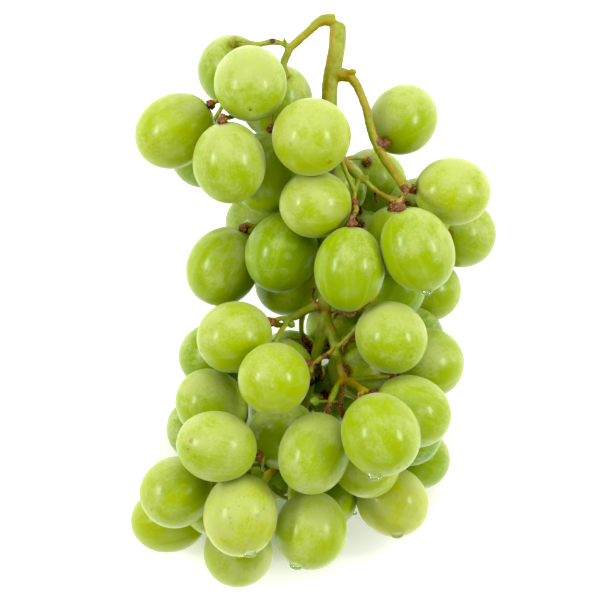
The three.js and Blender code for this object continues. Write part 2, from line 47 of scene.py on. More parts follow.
def placed(name, data):
    made = bpy.data.objects.new(name, data)
    scene.collection.objects.link(made)
    return made


# lays nodes in one tree, where each value is a number, a colour or another node's socket
class Wiring:
    def __init__(self, tree):
        self.tree = tree

    def give(self, value, socket):
        if isinstance(value, bpy.types.NodeSocket):
            self.tree.links.new(value, socket)
        elif value is not None:
            socket.default_value = value

    def fill(self, made, values):
        for key, value in values.items():
            self.give(value, made.inputs[key])

    def node(self, kind, values=None, **settings):
        made = self.tree.nodes.new(kind)
        for key, value in settings.items():
            setattr(made, key, value)
        self.fill(made, values or {})
        return made

    def maths(self, operation, first, second=None):
        return self.node("ShaderNodeMath", {0: first, 1: second}, operation=operation).outputs[0]

    def plus(self, first, second):
        return self.maths("ADD", first, second)

    def less(self, first, second):
        return self.maths("SUBTRACT", first, second)

    def times(self, first, second):
        return self.maths("MULTIPLY", first, second)

    # lets a pattern push a value up and down
    def sway(self, value, pattern, share):
        return self.plus(value, self.times(self.less(pattern, 0.5), share))

    def vector(self, operation, first, second=None, result="Vector"):
        return self.node("ShaderNodeVectorMath", {0: first, 1: second}, operation=operation).outputs[result]

    def combine(self, x, y, z):
        return self.node("ShaderNodeCombineXYZ", {"X": x, "Y": y, "Z": z}).outputs[0]

    # a smooth step from one value to another
    def ease(self, value, low, high, start=0.0, end=1.0):
        values = {"Value": value, "From Min": low, "From Max": high, "To Min": start, "To Max": end}
        return self.node("ShaderNodeMapRange", values, interpolation_type="SMOOTHSTEP").outputs["Result"]

    def mix(self, share, first, second):
        return self.node("ShaderNodeMix", {0: share, 6: first, 7: second}, data_type="RGBA").outputs[2]

    def noise(self, place, sizeMm, detail=2.0, roughness=0.5, distortion=0.0):
        values = {"Vector": place, "Scale": 1 / (sizeMm * mm), "Detail": detail, "Roughness": roughness,
                  "Distortion": distortion}
        return self.node("ShaderNodeTexNoise", values).outputs["Fac"]

    # dots on a net of this pitch, with the colour of each cell
    def dots(self, place, pitchMm, full, rim):
        net = self.node("ShaderNodeTexVoronoi", {"Vector": place, "Scale": 1 / (pitchMm * mm)})
        return self.ease(net.outputs["Distance"], full, rim, 1.0, 0.0), net.outputs["Color"]

    def attribute(self, name, output="Fac"):
        return self.node("ShaderNodeAttribute", attribute_name=name).outputs[output]

    # an attribute as a geometry tree reads it
    def named(self, name, kind="FLOAT"):
        made = self.node("GeometryNodeInputNamedAttribute", {"Name": name}, data_type=kind)
        return made.outputs["Attribute"]

    def objectPlace(self):
        return self.node("ShaderNodeTexCoord").outputs["Object"]

    def bump(self, height, strength, depthMm):
        values = {"Height": height, "Strength": strength, "Distance": depthMm * mm}
        return self.node("ShaderNodeBump", values).outputs["Normal"]


# a material with the wiring of its tree and its shader
def newPaint(name):
    paint = bpy.data.materials.new(name)
    paint.use_nodes = True
    return paint, Wiring(paint.node_tree), paint.node_tree.nodes["Principled BSDF"]


# sRGB numbers from 0 to 255 as the linear colour a socket takes
def colour(red, green, blue):
    parts = []
    for part in (red, green, blue):
        part = part / 255
        parts.append(part / 12.92 if part <= 0.04045 else ((part + 0.055) / 1.055) ** 2.4)
    return (*parts, 1.0)


cameraSetup = {
    "place": (-4.160, 1.195, 1235.0),  # mm, straight above the bunch
    "lens": 240.0,
    "sensor": 36.0,
    "picture": 600,                    # columns and rows
}

camera = placed("camera", bpy.data.cameras.new("camera"))
camera.data.lens = cameraSetup["lens"]
camera.data.sensor_width = cameraSetup["sensor"]
camera.location = Vector(cameraSetup["place"]) * mm
scene.camera = camera


# size of one picture step in mm at a height
def stepAt(height):
    lens, sensor = cameraSetup["lens"], cameraSetup["sensor"]
    return sensor / lens / cameraSetup["picture"] * (cameraSetup["place"][2] - height)


# the place in metres that shows at a column and a row, at a height in mm
def seenAt(column, row, height):
    middle, step = cameraSetup["picture"] / 2, stepAt(height)
    x, y, top = cameraSetup["place"]
    return Vector((x + (column - middle) * step, y + (middle - row) * step, height)) * mm


# columns and rows at which points show
def pictureOf(points):
    x, y, z = points.T / mm
    middle, step = cameraSetup["picture"] / 2, stepAt(z)
    return middle + (x - cameraSetup["place"][0]) / step, middle - (y - cameraSetup["place"][1]) / step


# the first surface below a column and a row: its place and the way it faces
def firstBelow(column, row, trees):
    start = camera.location
    way = (seenAt(column, row, 0) - start).normalized()
    hits = [tree.ray_cast(start, way) for tree in trees]
    hits = [hit for hit in hits if hit[0] is not None]
    if not hits:
        return None
    best = min(hits, key=lambda hit: hit[3])
    return best[0], best[1]


studio = {
    "sky": 0.34,
    "skyColour": (1.0, 1.0, 1.0),
    # name: (place in m, width, height, watts)
    "backBox": ((0.0, 1.0, 1.2), 1.9, 1.2, 17.5),
    "leftStrip": ((-0.95, 0.16, 0.80), 0.44, 0.14, 8.0),
    "rightStrip": ((0.95, 0.16, 0.80), 0.44, 0.14, 8.0),
    "frontFill": ((0.0, -1.3, 0.8), 1.6, 0.8, 6.0),
    "floorColour": (0.84, 0.84, 0.84, 1.0),
    "floorGlow": 0.52,
    "floorWhite": 0.10,   # more of it as the camera sees it
    "shade": {"centre": (-3.0, -50.0), "reach": (60.0, 44.0), "soft": (0.45, 1.06),  # mm, under the lower half
              "glow": 0.06, "tint": (0.76, 0.88, 0.58, 1.0)},
    "blackLevel": 0.010,  # of the camera
    "floorRoughness": 0.6,
    "floorSide": 6.0,     # m
    "aim": (0.0, 0.0, 0.04),
}

world = bpy.data.worlds.new("studio")
world.use_nodes = True
Wiring(world.node_tree).fill(world.node_tree.nodes["Background"],
                             {"Color": (*studio["skyColour"], 1), "Strength": studio["sky"]})
scene.world = world
scene.view_settings.view_transform = "Standard"
scene.view_settings.look = "None"
scene.view_settings.use_curve_mapping = True
scene.view_settings.curve_mapping.black_level = [studio["blackLevel"]] * 3
scene.view_settings.curve_mapping.update()


def hangSoftbox(name):
    place, width, height, watts = studio[name]
    lamp = bpy.data.lights.new(name, "AREA")
    lamp.shape = "RECTANGLE"
    lamp.size, lamp.size_y = width, height
    lamp.energy = watts
    box = placed(name, lamp)
    box.location = place
    aim = Vector(studio["aim"]) - Vector(place)
    box.rotation_euler = aim.to_track_quat("-Z", "Y").to_euler()


for name in ("backBox", "leftStrip", "rightStrip", "frontFill"):
    hangSoftbox(name)

floorMesh = bpy.data.meshes.new("floor")
half = studio["floorSide"] / 2
floorMesh.from_pydata([(-half, -half, 0), (half, -half, 0), (half, half, 0), (-half, half, 0)], [], [(0, 1, 2, 3)])
floor = placed("floor", floorMesh)
floorPaint, w, shader = newPaint("paleFloor")
shade = studio["shade"]
fromMiddle = w.vector("SUBTRACT", w.objectPlace(), Vector((*shade["centre"], 0)) * mm)
evened = w.vector("DIVIDE", fromMiddle, (shade["reach"][0] * mm, shade["reach"][1] * mm, 1))
straight = w.node("ShaderNodeLightPath").outputs["Is Camera Ray"]
shaded = w.times(straight, w.ease(w.vector("LENGTH", evened, result="Value"), *shade["soft"], 1.0, 0.0))
glow = w.plus(w.times(straight, studio["floorWhite"]), studio["floorGlow"])
taken = studio["floorGlow"] + studio["floorWhite"] - shade["glow"]
w.fill(shader, {"Base Color": studio["floorColour"], "Roughness": studio["floorRoughness"],
                "Emission Strength": w.less(glow, w.times(shaded, taken)),
                "Emission Color": w.mix(shaded, (1, 1, 1, 1), shade["tint"])})
floorMesh.materials.append(floorPaint)
print("camera, light and floor set")

# how the solid grapes are built, to read their sizes back
solidGrape = {
    "sides": 10,
    "ringTurn": math.radians(30),  # first ring of the solid, off its pole
    "swell": 1.025,                # facets stand this far out
    "egg": 0.05,                   # fuller towards the blossom end
    "fitStretch": 1.012,           # a fitted ellipsoid comes out this much too long
    "fitRounds": 4000,
    "fitMiss": 1e-4,
    "merge": 0.002,                # mm
    "ringUneven": 0.01,            # a whole ring differs less than this
    "poleHeight": 0.5,             # mm, of a pole that isn't cut flat
    "stemNear": 1.2,               # mm
}


def mergedCopy(node, name):
    mesh = node.data.copy()
    mesh.name = name
    loose = bmesh.new()
    loose.from_mesh(mesh)
    bmesh.ops.remove_doubles(loose, verts=loose.verts, dist=solidGrape["merge"] * mm)
    loose.to_mesh(mesh)
    loose.free()
    return mesh


# the faces of meshes as one search tree
def searchTree(meshes):
    corners, faces = [], []
    for mesh in meshes:
        first = len(corners)
        corners.extend(tuple(v.co) for v in mesh.vertices)
        faces.extend(tuple(first + i for i in p.vertices) for p in mesh.polygons)
    return BVHTree.FromPolygons(corners, faces)


stemSolid = mergedCopy(nodes["stem"], "stemSolid")
stemTree = searchTree([stemSolid])


# the smallest ellipsoid round the corners, for a grape that is pressed at both poles
def fittedGrape(name, corners):
    count = len(corners)
    lifted = np.vstack([corners.T / mm, np.ones(count)])
    weight = np.full(count, 1 / count)
    for step in range(solidGrape["fitRounds"]):
        shape = lifted * weight @ lifted.T
        reach = np.einsum("ij,ij->j", lifted, np.linalg.solve(shape, lifted))
        far = int(np.argmax(reach))
        if reach[far] < 4 * (1 + solidGrape["fitMiss"]):
            break
        share = (reach[far] - 4) / (4 * (reach[far] - 1))
        weight *= 1 - share
        weight[far] += share
    points = corners.T / mm
    centre = points @ weight
    spread = (points * weight @ points.T - np.outer(centre, centre)) * 3
    sizes, ways = np.linalg.eigh(spread)
    radii = np.sqrt(sizes) * mm / solidGrape["swell"]
    axis, centre = Vector(ways[:, 2]), Vector(centre * mm)
    tip = axis * float(radii[2]) * solidGrape["swell"]
    ends = [stemTree.find_nearest(centre + tip * side)[3] for side in (1, -1)]
    if ends[1] < ends[0]:
        axis = -axis
    halfLength = float(radii[2]) / solidGrape["fitStretch"]
    centre = centre + axis * (float(radii[2]) - halfLength)
    return {"name": name, "centre": centre, "axis": axis, "halfLength": halfLength,
            "radius": float(radii[:2].mean())}


# reads the long axis and both radii off the ring of corners round a pole
def measureGrape(name):
    mesh = mergedCopy(nodes[name], name + "_solid")
    solid = bmesh.new()
    solid.from_mesh(mesh)
    found = []
    for corner in solid.verts:
        if len(corner.link_edges) != solidGrape["sides"]:
            continue
        ring = [edge.other_vert(corner).co.copy() for edge in corner.link_edges]
        middle = sum(ring, Vector()) / len(ring)
        reach = [(point - middle).length for point in ring]
        uneven = max(reach) - min(reach) > solidGrape["ringUneven"] * max(reach)
        if uneven or (corner.co - middle).length < solidGrape["poleHeight"] * mm:
            continue
        near = stemTree.find_nearest(corner.co)[3]
        found.append((near, corner.co.copy(), middle, sum(reach) / len(reach)))
    solid.free()
    corners = np.array([v.co for v in mesh.vertices], float)
    bpy.data.meshes.remove(mesh)
    if not found:
        return fittedGrape(name, corners)
    near, pole, middle, reach = min(found, key=lambda item: item[0])
    stemEnd = near < solidGrape["stemNear"] * mm
    outwards = (pole - middle).normalized()
    turn, swell = solidGrape["ringTurn"], solidGrape["swell"]
    halfLength = (pole - middle).length / (swell * (1 - math.cos(turn)))
    fuller = math.sqrt(1 - solidGrape["egg"] * math.cos(turn) * (1 if stemEnd else -1))
    radius = reach / (swell * math.sin(turn) * fuller)
    axis = outwards if stemEnd else -outwards
    return {"name": name, "centre": pole - outwards * halfLength * swell, "axis": axis,
            "halfLength": halfLength, "radius": radius}


grapes = [measureGrape(name) for name in sorted(nodes) if name.startswith("berry_")]
print("measured", len(grapes), "grapes")

skinLook = {
    "fresh": colour(148, 170, 0),       # rubbed, glossy skin
    "ripe": colour(174, 184, 0),        # the yellower grapes
    "shaded": colour(116, 148, 0),      # the greener grapes, and painted shade on grapes that others hang over
    "bloom": colour(182, 190, 114),     # whitish wax, also painted sheen where the lit side gets more of it
    "vein": colour(190, 200, 84),
    "scar": colour(104, 70, 26),
    "russet": colour(146, 108, 34),
    "flesh": (4.6, 5.0, 0.9),           # how far light travels under the skin, mm
    # patterns: size in mm, detail, roughness, distortion
    "patches": (9.5, 1.5, 0.5, 0.25),   # of wax
    "smears": (3.2, 2.0, 0.5, 0.4),
    "flecks": (0.9, 3.0, 0.65),
    "wander": (3.5,),
    "grain": (0.55,),
    "strokes": ((13.0, 13.0, 4.0), (2.0, 0.6, 0.6)),  # pale, from end to end: how many, then their pattern
    # how far each moves the rim of the wax
    "smearShare": 0.28,
    "strokeSway": 0.30,
    "fleckSway": 0.32,
    "waxAndLightSway": 0.22,
    "waxRim": (0.42, 0.72),
    "waxCover": 0.72,
    "veins": (9.0, 1.5, 0.14),          # how many, how far they wander, how strong
    "veinRim": ((0.75, 1.0), (0.15, 0.6)),  # of one vein, and off the axis
    "pores": (0.9, 0.10, 0.20, 0.38),   # pitch in mm, full and rim as shares, how strong
    "rusts": (7.0, 0.025, 0.07, 0.75),
    "rustRare": (0.80, 0.84),           # most cells stay clean
    "blossomEnd": (-0.7, -0.8),         # along the axis, from -1 to 1
    "stalkEnd": (0.6, 0.7),
    "blossomDot": (0.035, 0.065, 0.22),        # full and rim off the axis, how strong
    "blossomRing": (0.07, 0.11, 0.12, 0.2, 0.2),   # start, full, full, end off the axis, how strong
    "stalkRust": (0.16, 0.26, 0.5),
    "rough": (0.30, 0.20, 0.3),         # bare, more under wax, more on the blossom dot
    "heights": (0.5, -0.3, 0.8),        # of grain, pores and blossom dot
    "bump": (0.25, 0.06),               # strength, depth in mm
    "ior": 1.4,
    "gloss": 0.2,
    "seeThrough": 0.85,
    "coat": (0.27, 0.23),               # weight, roughness
    "sheen": (0.22, 0.35),
    "sheenTint": (0.94, 1.0, 0.82, 1.0),
}


def skinMaterial():
    paint, w, shader = newPaint("grapeSkin")
    spot, place = w.objectPlace(), w.attribute("skinPlace", "Vector")
    toneAndShade, waxAndPaintedLight = w.attribute("skinTone"), w.attribute("waxAndPaintedLight")
    parts = w.node("ShaderNodeSeparateXYZ", {0: place}).outputs
    offAxis = w.vector("LENGTH", w.vector("MULTIPLY", place, (1, 1, 0)), result="Value")

    patches, smears, flecks, wander, grain = (
        w.noise(spot, *skinLook[name]) for name in ("patches", "smears", "flecks", "wander", "grain"))
    share = skinLook["smearShare"]
    wax = w.plus(w.times(patches, 1 - share), w.times(smears, share))
    # the stored wax value holds real wax, painted sheen on the side facing the key light and painted shade under
    # other grapes
    wax = w.sway(wax, waxAndPaintedLight, skinLook["waxAndLightSway"])
    many, pattern = skinLook["strokes"]
    strokes = w.noise(w.vector("MULTIPLY", place, many), 1 / mm, *pattern)
    wax = w.sway(w.sway(wax, strokes, skinLook["strokeSway"]), flecks, skinLook["fleckSway"])
    wax = w.ease(wax, *skinLook["waxRim"])

    # greener and darker as the stored tone falls, which holds random tone and painted shade
    base = w.mix(w.ease(toneAndShade, -1, 0), skinLook["shaded"], skinLook["fresh"])
    base = w.mix(w.ease(toneAndShade, 0, 1), base, skinLook["ripe"])

    # pale veins run from end to end under the skin
    many, reach, share = skinLook["veins"]
    turn = w.times(w.maths("ARCTAN2", parts["Y"], parts["X"]), many)
    veins = w.maths("SINE", w.plus(turn, w.times(wander, reach)))
    veinEdges, axisEdges = skinLook["veinRim"]
    veins = w.times(w.ease(veins, *veinEdges), w.ease(offAxis, *axisEdges))
    base = w.mix(w.times(veins, share), base, skinLook["vein"])
    base = w.mix(w.times(wax, skinLook["waxCover"]), base, skinLook["bloom"])

    # breathing pores, a few of them russet
    *sizes, share = skinLook["pores"]
    poreDots, cell = w.dots(spot, *sizes)
    base = w.mix(w.times(poreDots, share), base, skinLook["vein"])
    *sizes, share = skinLook["rusts"]
    rust, cell = w.dots(spot, *sizes)
    rare = w.node("ShaderNodeSeparateColor", {0: cell}).outputs["Red"]
    rust = w.times(rust, w.ease(rare, *skinLook["rustRare"]))
    base = w.mix(w.times(rust, share), base, skinLook["russet"])

    # the dry dot where the flower was, in a faint ring
    atBlossom = w.ease(parts["Z"], *skinLook["blossomEnd"])
    full, rim, share = skinLook["blossomDot"]
    dot = w.times(atBlossom, w.ease(offAxis, full, rim, 1.0, 0.0))
    start, inner, outer, end, ringShare = skinLook["blossomRing"]
    ring = w.times(atBlossom, w.times(w.ease(offAxis, start, inner), w.ease(offAxis, outer, end, 1.0, 0.0)))
    base = w.mix(w.times(ring, ringShare), base, skinLook["vein"])
    base = w.mix(w.times(dot, share), base, skinLook["scar"])
    full, rim, share = skinLook["stalkRust"]
    atStem = w.times(w.ease(parts["Z"], *skinLook["stalkEnd"]), w.ease(offAxis, full, rim, 1.0, 0.0))
    base = w.mix(w.times(atStem, share), base, skinLook["russet"])

    bare, more, onDot = skinLook["rough"]
    rough = w.plus(w.plus(w.times(wax, more), bare), w.times(dot, onDot))
    grainHigh, poreHigh, dotHigh = skinLook["heights"]
    height = w.plus(w.times(grain, grainHigh), w.times(poreDots, poreHigh))
    height = w.plus(height, w.times(dot, dotHigh))
    w.fill(shader, {
        "Base Color": base, "Roughness": rough, "Normal": w.bump(height, *skinLook["bump"]),
        "IOR": skinLook["ior"], "Specular IOR Level": skinLook["gloss"],
        "Subsurface Weight": skinLook["seeThrough"], "Subsurface Radius": skinLook["flesh"],
        "Subsurface Scale": 1 * mm,
        "Coat Weight": skinLook["coat"][0], "Coat Roughness": skinLook["coat"][1],
        "Sheen Weight": skinLook["sheen"][0], "Sheen Roughness": skinLook["sheen"][1],
        "Sheen Tint": skinLook["sheenTint"],
    })
    return paint


skinPaint = skinMaterial()

grapeShape = {
    "rows": 34,             # rings from pole to pole
    "sides": 52,
    "egg": 0.05,
    "dimple": 0.35,         # mm, how deep the skin dips round the stalk
    "dimpleRadius": 2.6,    # mm
    "tip": 0.12,            # mm, how far the blossom dot stands out
    "tipRadius": 0.45,      # mm
    "crowding": 0.22,       # how much the rings crowd towards both poles
    "lumps": 0.016,         # share of the radius
    "lumpSize": 1.3,
    "lumpApart": 3.7,       # from one seed's pattern to the next
    "seed": 11,
}


# a geometry tree with named inputs: the tree, its wiring, its inputs and what they are called inside
def newTree(name, takes, **kinds):
    tree = bpy.data.node_groups.new(name, "GeometryNodeTree")
    if takes:
        tree.interface.new_socket(takes, in_out="INPUT", socket_type="NodeSocketGeometry")
    sockets = {}
    for kind, labels in kinds.items():
        for label in labels:
            made = tree.interface.new_socket(label, in_out="INPUT", socket_type="NodeSocket" + kind)
            sockets[label] = made.identifier
    tree.interface.new_socket("Mesh", in_out="OUTPUT", socket_type="NodeSocketGeometry")
    return tree, Wiring(tree), tree.nodes.new("NodeGroupInput").outputs, sockets


# how every tree ends: smooth, real and covered with its material
def finishTree(w, flow, cover):
    smooth = w.node("GeometryNodeSetShadeSmooth", {"Geometry": flow}).outputs["Geometry"]
    real = w.node("GeometryNodeRealizeInstances", {"Geometry": smooth}).outputs["Geometry"]
    done = w.node("GeometryNodeSetMaterial", {"Geometry": real, "Material": cover}).outputs["Geometry"]
    w.node("NodeGroupOutput", {"Mesh": done})


def storeValue(w, flow, name, value, kind="FLOAT"):
    return w.node("GeometryNodeStoreNamedAttribute", {"Geometry": flow, "Name": name, "Value": value},
                  data_type=kind, domain="POINT").outputs["Geometry"]


def grapeTree():
    tree, w, given, sockets = newTree(
        "growGrape", None,
        Float=("Half length", "Radius", "Egg share", "Dimple depth", "Dimple radius", "Tip height", "Lump share",
               "Lump size", "Tone", "Waxed"),
        Int=("Rings", "Sides", "Seed"), Vector=("Centre", "Turn"), Material=("Skin",))
    ball = w.node("GeometryNodeMeshUVSphere", {"Radius": 1.0, "Segments": given["Sides"], "Rings": given["Rings"]})
    parts = w.node("ShaderNodeSeparateXYZ", {0: w.node("GeometryNodeInputPosition").outputs[0]}).outputs

    # rings crowd towards both poles, where the small forms are
    angle = w.maths("ARCCOSINE", w.maths("MINIMUM", w.maths("MAXIMUM", parts["Z"], -1.0), 1.0))
    angle = w.less(angle, w.times(w.maths("SINE", w.times(angle, 2.0)), grapeShape["crowding"]))
    sine, cosine = w.maths("SINE", angle), w.maths("COSINE", angle)
    turn = w.maths("ARCTAN2", parts["Y"], parts["X"])
    turnX, turnY = w.maths("COSINE", turn), w.maths("SINE", turn)
    unit = w.combine(w.times(sine, turnX), w.times(sine, turnY), cosine)

    # low lumps, different for each seed
    values = {"Vector": unit, "Scale": given["Lump size"], "Detail": 1.0,
              "W": w.times(given["Seed"], grapeShape["lumpApart"])}
    lumps = w.node("ShaderNodeTexNoise", values, noise_dimensions="4D").outputs["Fac"]
    swell = w.plus(w.times(w.times(w.less(lumps, 0.5), given["Lump share"]), 2.0), 1.0)
    fuller = w.maths("SQRT", w.less(1.0, w.times(given["Egg share"], cosine)))
    wide = w.times(w.times(w.times(given["Radius"], sine), fuller), swell)
    tall = w.times(w.times(given["Half length"], cosine), swell)

    # falls from one on the axis to nothing beyond a radius
    def bell(radius):
        away = w.maths("DIVIDE", wide, radius)
        return w.maths("EXPONENT", w.times(w.times(away, away), -1.0))

    # the dip round the stalk, and the dot at the other end
    dip = w.times(bell(given["Dimple radius"]), given["Dimple depth"])
    tip = w.times(bell(grapeShape["tipRadius"] * mm), given["Tip height"])
    tall = w.less(tall, w.times(dip, w.maths("GREATER_THAN", cosine, 0.0)))
    tall = w.less(tall, w.times(tip, w.maths("LESS_THAN", cosine, 0.0)))
    shaped = w.combine(w.times(wide, turnX), w.times(wide, turnY), tall)

    flow = storeValue(w, ball.outputs["Mesh"], "skinPlace", unit, "FLOAT_VECTOR")
    flow = w.node("GeometryNodeSetPosition", {"Geometry": flow, "Position": shaped}).outputs["Geometry"]
    flow = storeValue(w, flow, "skinTone", given["Tone"])
    flow = storeValue(w, flow, "waxAndPaintedLight", given["Waxed"])
    flow = w.node("GeometryNodeTransform", {"Geometry": flow, "Translation": given["Centre"],
                                            "Rotation": given["Turn"]}).outputs["Geometry"]
    finishTree(w, flow, given["Skin"])
    return tree, sockets


growGrape, grapeSockets = grapeTree()
rng = np.random.default_rng(grapeShape["seed"])


# what an object's modifiers make of it becomes a plain mesh, and the object goes
def plainMesh(holder, name):
    graph = bpy.context.evaluated_depsgraph_get()
    graph.update()
    mesh = bpy.data.meshes.new_from_object(holder.evaluated_get(graph), preserve_all_data_layers=True,
                                           depsgraph=graph)
    mesh.name = name
    bpy.data.objects.remove(holder)
    return mesh


# runs a geometry tree once, on a mesh where it takes one
def bakedMesh(tree, sockets, values, name, source=None):
    holder = placed(name + "Holder", source or bpy.data.meshes.new(name + "Holder"))
    grow = holder.modifiers.new("grow", "NODES")
    grow.node_group = tree
    for label, value in values.items():
        grow[sockets[label]] = value
    return plainMesh(holder, name)


def noteOn(mesh, label, values, kind="FLOAT", part="value"):
    mesh.attributes.new(label, kind, "POINT").data.foreach_set(part, values)


# places or normals of all vertices, a row each
def readPoints(mesh, label="co"):
    points = np.empty(len(mesh.vertices) * 3)
    mesh.vertices.foreach_get(label, points)
    return points.reshape(-1, 3)


def writePoints(mesh, points):
    mesh.vertices.foreach_set("co", points.ravel())
    mesh.update()


# a finished mesh becomes a piece that rides the part, in place of a node or beside the others
def addPiece(mesh, node=None):
    made = placed(mesh.name, mesh)
    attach(made, "root")
    if node:
        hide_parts(node)
    return made


paintedSheen = {
    "side": (-0.15, 0.9, 0.4),   # the side that faces the key light, where more whitish wax is painted sheen
    "share": 0.52,
}


# painted sheen: more whitish wax on the side that faces the key light
def paintSheenOneSide(mesh):
    waxAndPaintedLight = np.empty(len(mesh.vertices), np.float32)
    note = mesh.attributes["waxAndPaintedLight"].data
    note.foreach_get("value", waxAndPaintedLight)
    side = np.array(Vector(paintedSheen["side"]).normalized())
    waxAndPaintedLight += paintedSheen["share"] * (readPoints(mesh, "normal") @ side)
    note.foreach_set("value", waxAndPaintedLight.astype(np.float32))


grapeTone = {
    "spread": 0.3,        # yellower or greener by chance
    "open": 0.15,         # of a grape with nothing above it
    "shadeUnderOthers": 0.55,      # painted shade: tone taken off where other grapes hang over it
    "coverReach": 20.0,   # mm sideways
    "coverRise": 5.0,     # mm, how much higher it must lie
    "coverMost": 1.5,
    "waxAndPaintedLight": (0.35, 0.65),
    "waxShadeUnder": 0.2,      # painted shade: less whitish wax where other grapes hang over it
}

# grapes set apart from the rest: added tone, added wax. Part of it is painted light and shade: berry_10, berry_11,
# berry_13 and berry_14, in the middle, are greener and less waxed as painted shade, and berry_17, berry_45 and
# berry_51, low at the rim, are yellower as painted light
grapeCare = {
    "berry_01": (0.1, 0.25),
    "berry_02": (0.15, -0.15),
    "berry_10": (-0.5, -0.3),
    "berry_11": (-0.9, -0.35),
    "berry_13": (-0.4, -0.5),
    "berry_14": (-0.2, -0.3),
    "berry_15": (0.1, 0.25),
    "berry_17": (0.5, -0.1),
    "berry_18": (0.4, 0.0),
    "berry_21": (0.2, -0.2),
    "berry_30": (0.2, -0.3),
    "berry_35": (-0.1, -0.15),
    "berry_45": (0.9, -0.4),
    "berry_46": (0.6, 0.15),
    "berry_47": (0.3, 0.45),
    "berry_49": (0.6, 0.1),
    "berry_51": (0.3, 0.1),
    "berry_52": (0.4, 0.15),
    "berry_54": (0.1, -0.35),
}


# how much other grapes hang over one, for the painted shade
def coverOf(grape):
    total = 0.0
    for other in grapes:
        apart = other["centre"] - grape["centre"]
        if apart.z > grapeTone["coverRise"] * mm:
            total += max(0.0, 1 - math.hypot(apart.x, apart.y) / (grapeTone["coverReach"] * mm))
    return min(total, grapeTone["coverMost"])


# euler angles that lay local Z along the axis
def turnTo(axis):
    return axis.to_track_quat("Z", "Y").to_euler()


# what all grapes share, with what is given for one
def grapeValues(place, axis, **given):
    return {
        "Egg share": grapeShape["egg"], "Dimple depth": grapeShape["dimple"] * mm,
        "Dimple radius": grapeShape["dimpleRadius"] * mm, "Tip height": grapeShape["tip"] * mm,
        "Lump share": grapeShape["lumps"], "Lump size": grapeShape["lumpSize"], "Rings": grapeShape["rows"],
        "Sides": grapeShape["sides"], "Centre": tuple(place), "Turn": tuple(turnTo(axis)), "Skin": skinPaint, **given,
    }


def growOne(grape, seed):
    toneAndShade, waxAndPaintedLight = grapeCare.get(grape["name"], (0.0, 0.0))
    # painted shade: the more other grapes hang over this one, the greener, darker and less waxed its skin
    cover = coverOf(grape)
    toneAndShade += float(rng.uniform(-1, 1)) * grapeTone["spread"] + grapeTone["open"] - grapeTone["shadeUnderOthers"] * cover
    waxAndPaintedLight += float(rng.uniform(*grapeTone["waxAndPaintedLight"])) - grapeTone["waxShadeUnder"] * cover
    size = {"Half length": grape["halfLength"], "Radius": grape["radius"]}
    values = grapeValues(grape["centre"], grape["axis"], Seed=seed, Tone=toneAndShade, Waxed=waxAndPaintedLight, **size)
    return bakedMesh(growGrape, grapeSockets, values, grape["name"].replace("berry", "grape"))


# rows are the grape's own axes, long axis last
def frameOf(axis):
    return np.array(axis.to_track_quat("Z", "Y").to_matrix().transposed())


# how far points are outside a grape's plain skin, roughly, and the way out
def skinDistance(points, grape):
    local = (points - np.array(grape["centre"])) @ frameOf(grape["axis"]).T
    cosine = np.clip(local[:, 2] / grape["halfLength"], -1, 1)
    wide = grape["radius"] * np.sqrt(1 - grapeShape["egg"] * cosine)
    extent = np.stack([wide, wide, np.full(len(local), grape["halfLength"])], 1)
    scaled = local / extent
    size = np.maximum(np.linalg.norm(scaled, axis=1), 1e-6)
    slope = scaled / extent / size[:, None]
    steep = np.linalg.norm(slope, axis=1)
    return (size - 1) / steep, (slope / steep[:, None]) @ frameOf(grape["axis"])


pressing = {
    "gap": 0.06,      # mm between two pressed skins
    "soft": 0.22,     # mm over which a flat spot rounds off
    "near": 1.5,      # mm, beyond it two grapes don't press
}


# zero below, the value itself above, and round in between
def softStep(value, soft):
    return soft * np.logaddexp(0, value / soft)


# flattens the skin a little where grapes touch one another and where they touch the surface below
def pressFlat(grape, mesh):
    points = readPoints(mesh)
    soft, gap = pressing["soft"] * mm, pressing["gap"] * mm
    moved = points.copy()
    for other in grapes:
        span = (other["centre"] - grape["centre"]).length
        if other is grape or span > grape["halfLength"] + other["halfLength"] + pressing["near"] * mm:
            continue
        clear, away = skinDistance(points, other)
        moved += away * softStep((gap - clear) / 2, soft / 2)[:, None]
    moved[:, 2] = softStep(moved[:, 2], soft)
    writePoints(mesh, moved)


pieces = []
for index, grape in enumerate(grapes):
    mesh = growOne(grape, index + 1)
    pressFlat(grape, mesh)
    paintSheenOneSide(mesh)
    pieces.append(addPiece(mesh, grape["name"]))
skinTree = searchTree([piece.data for piece in pieces])
print("grew", len(pieces), "grapes")

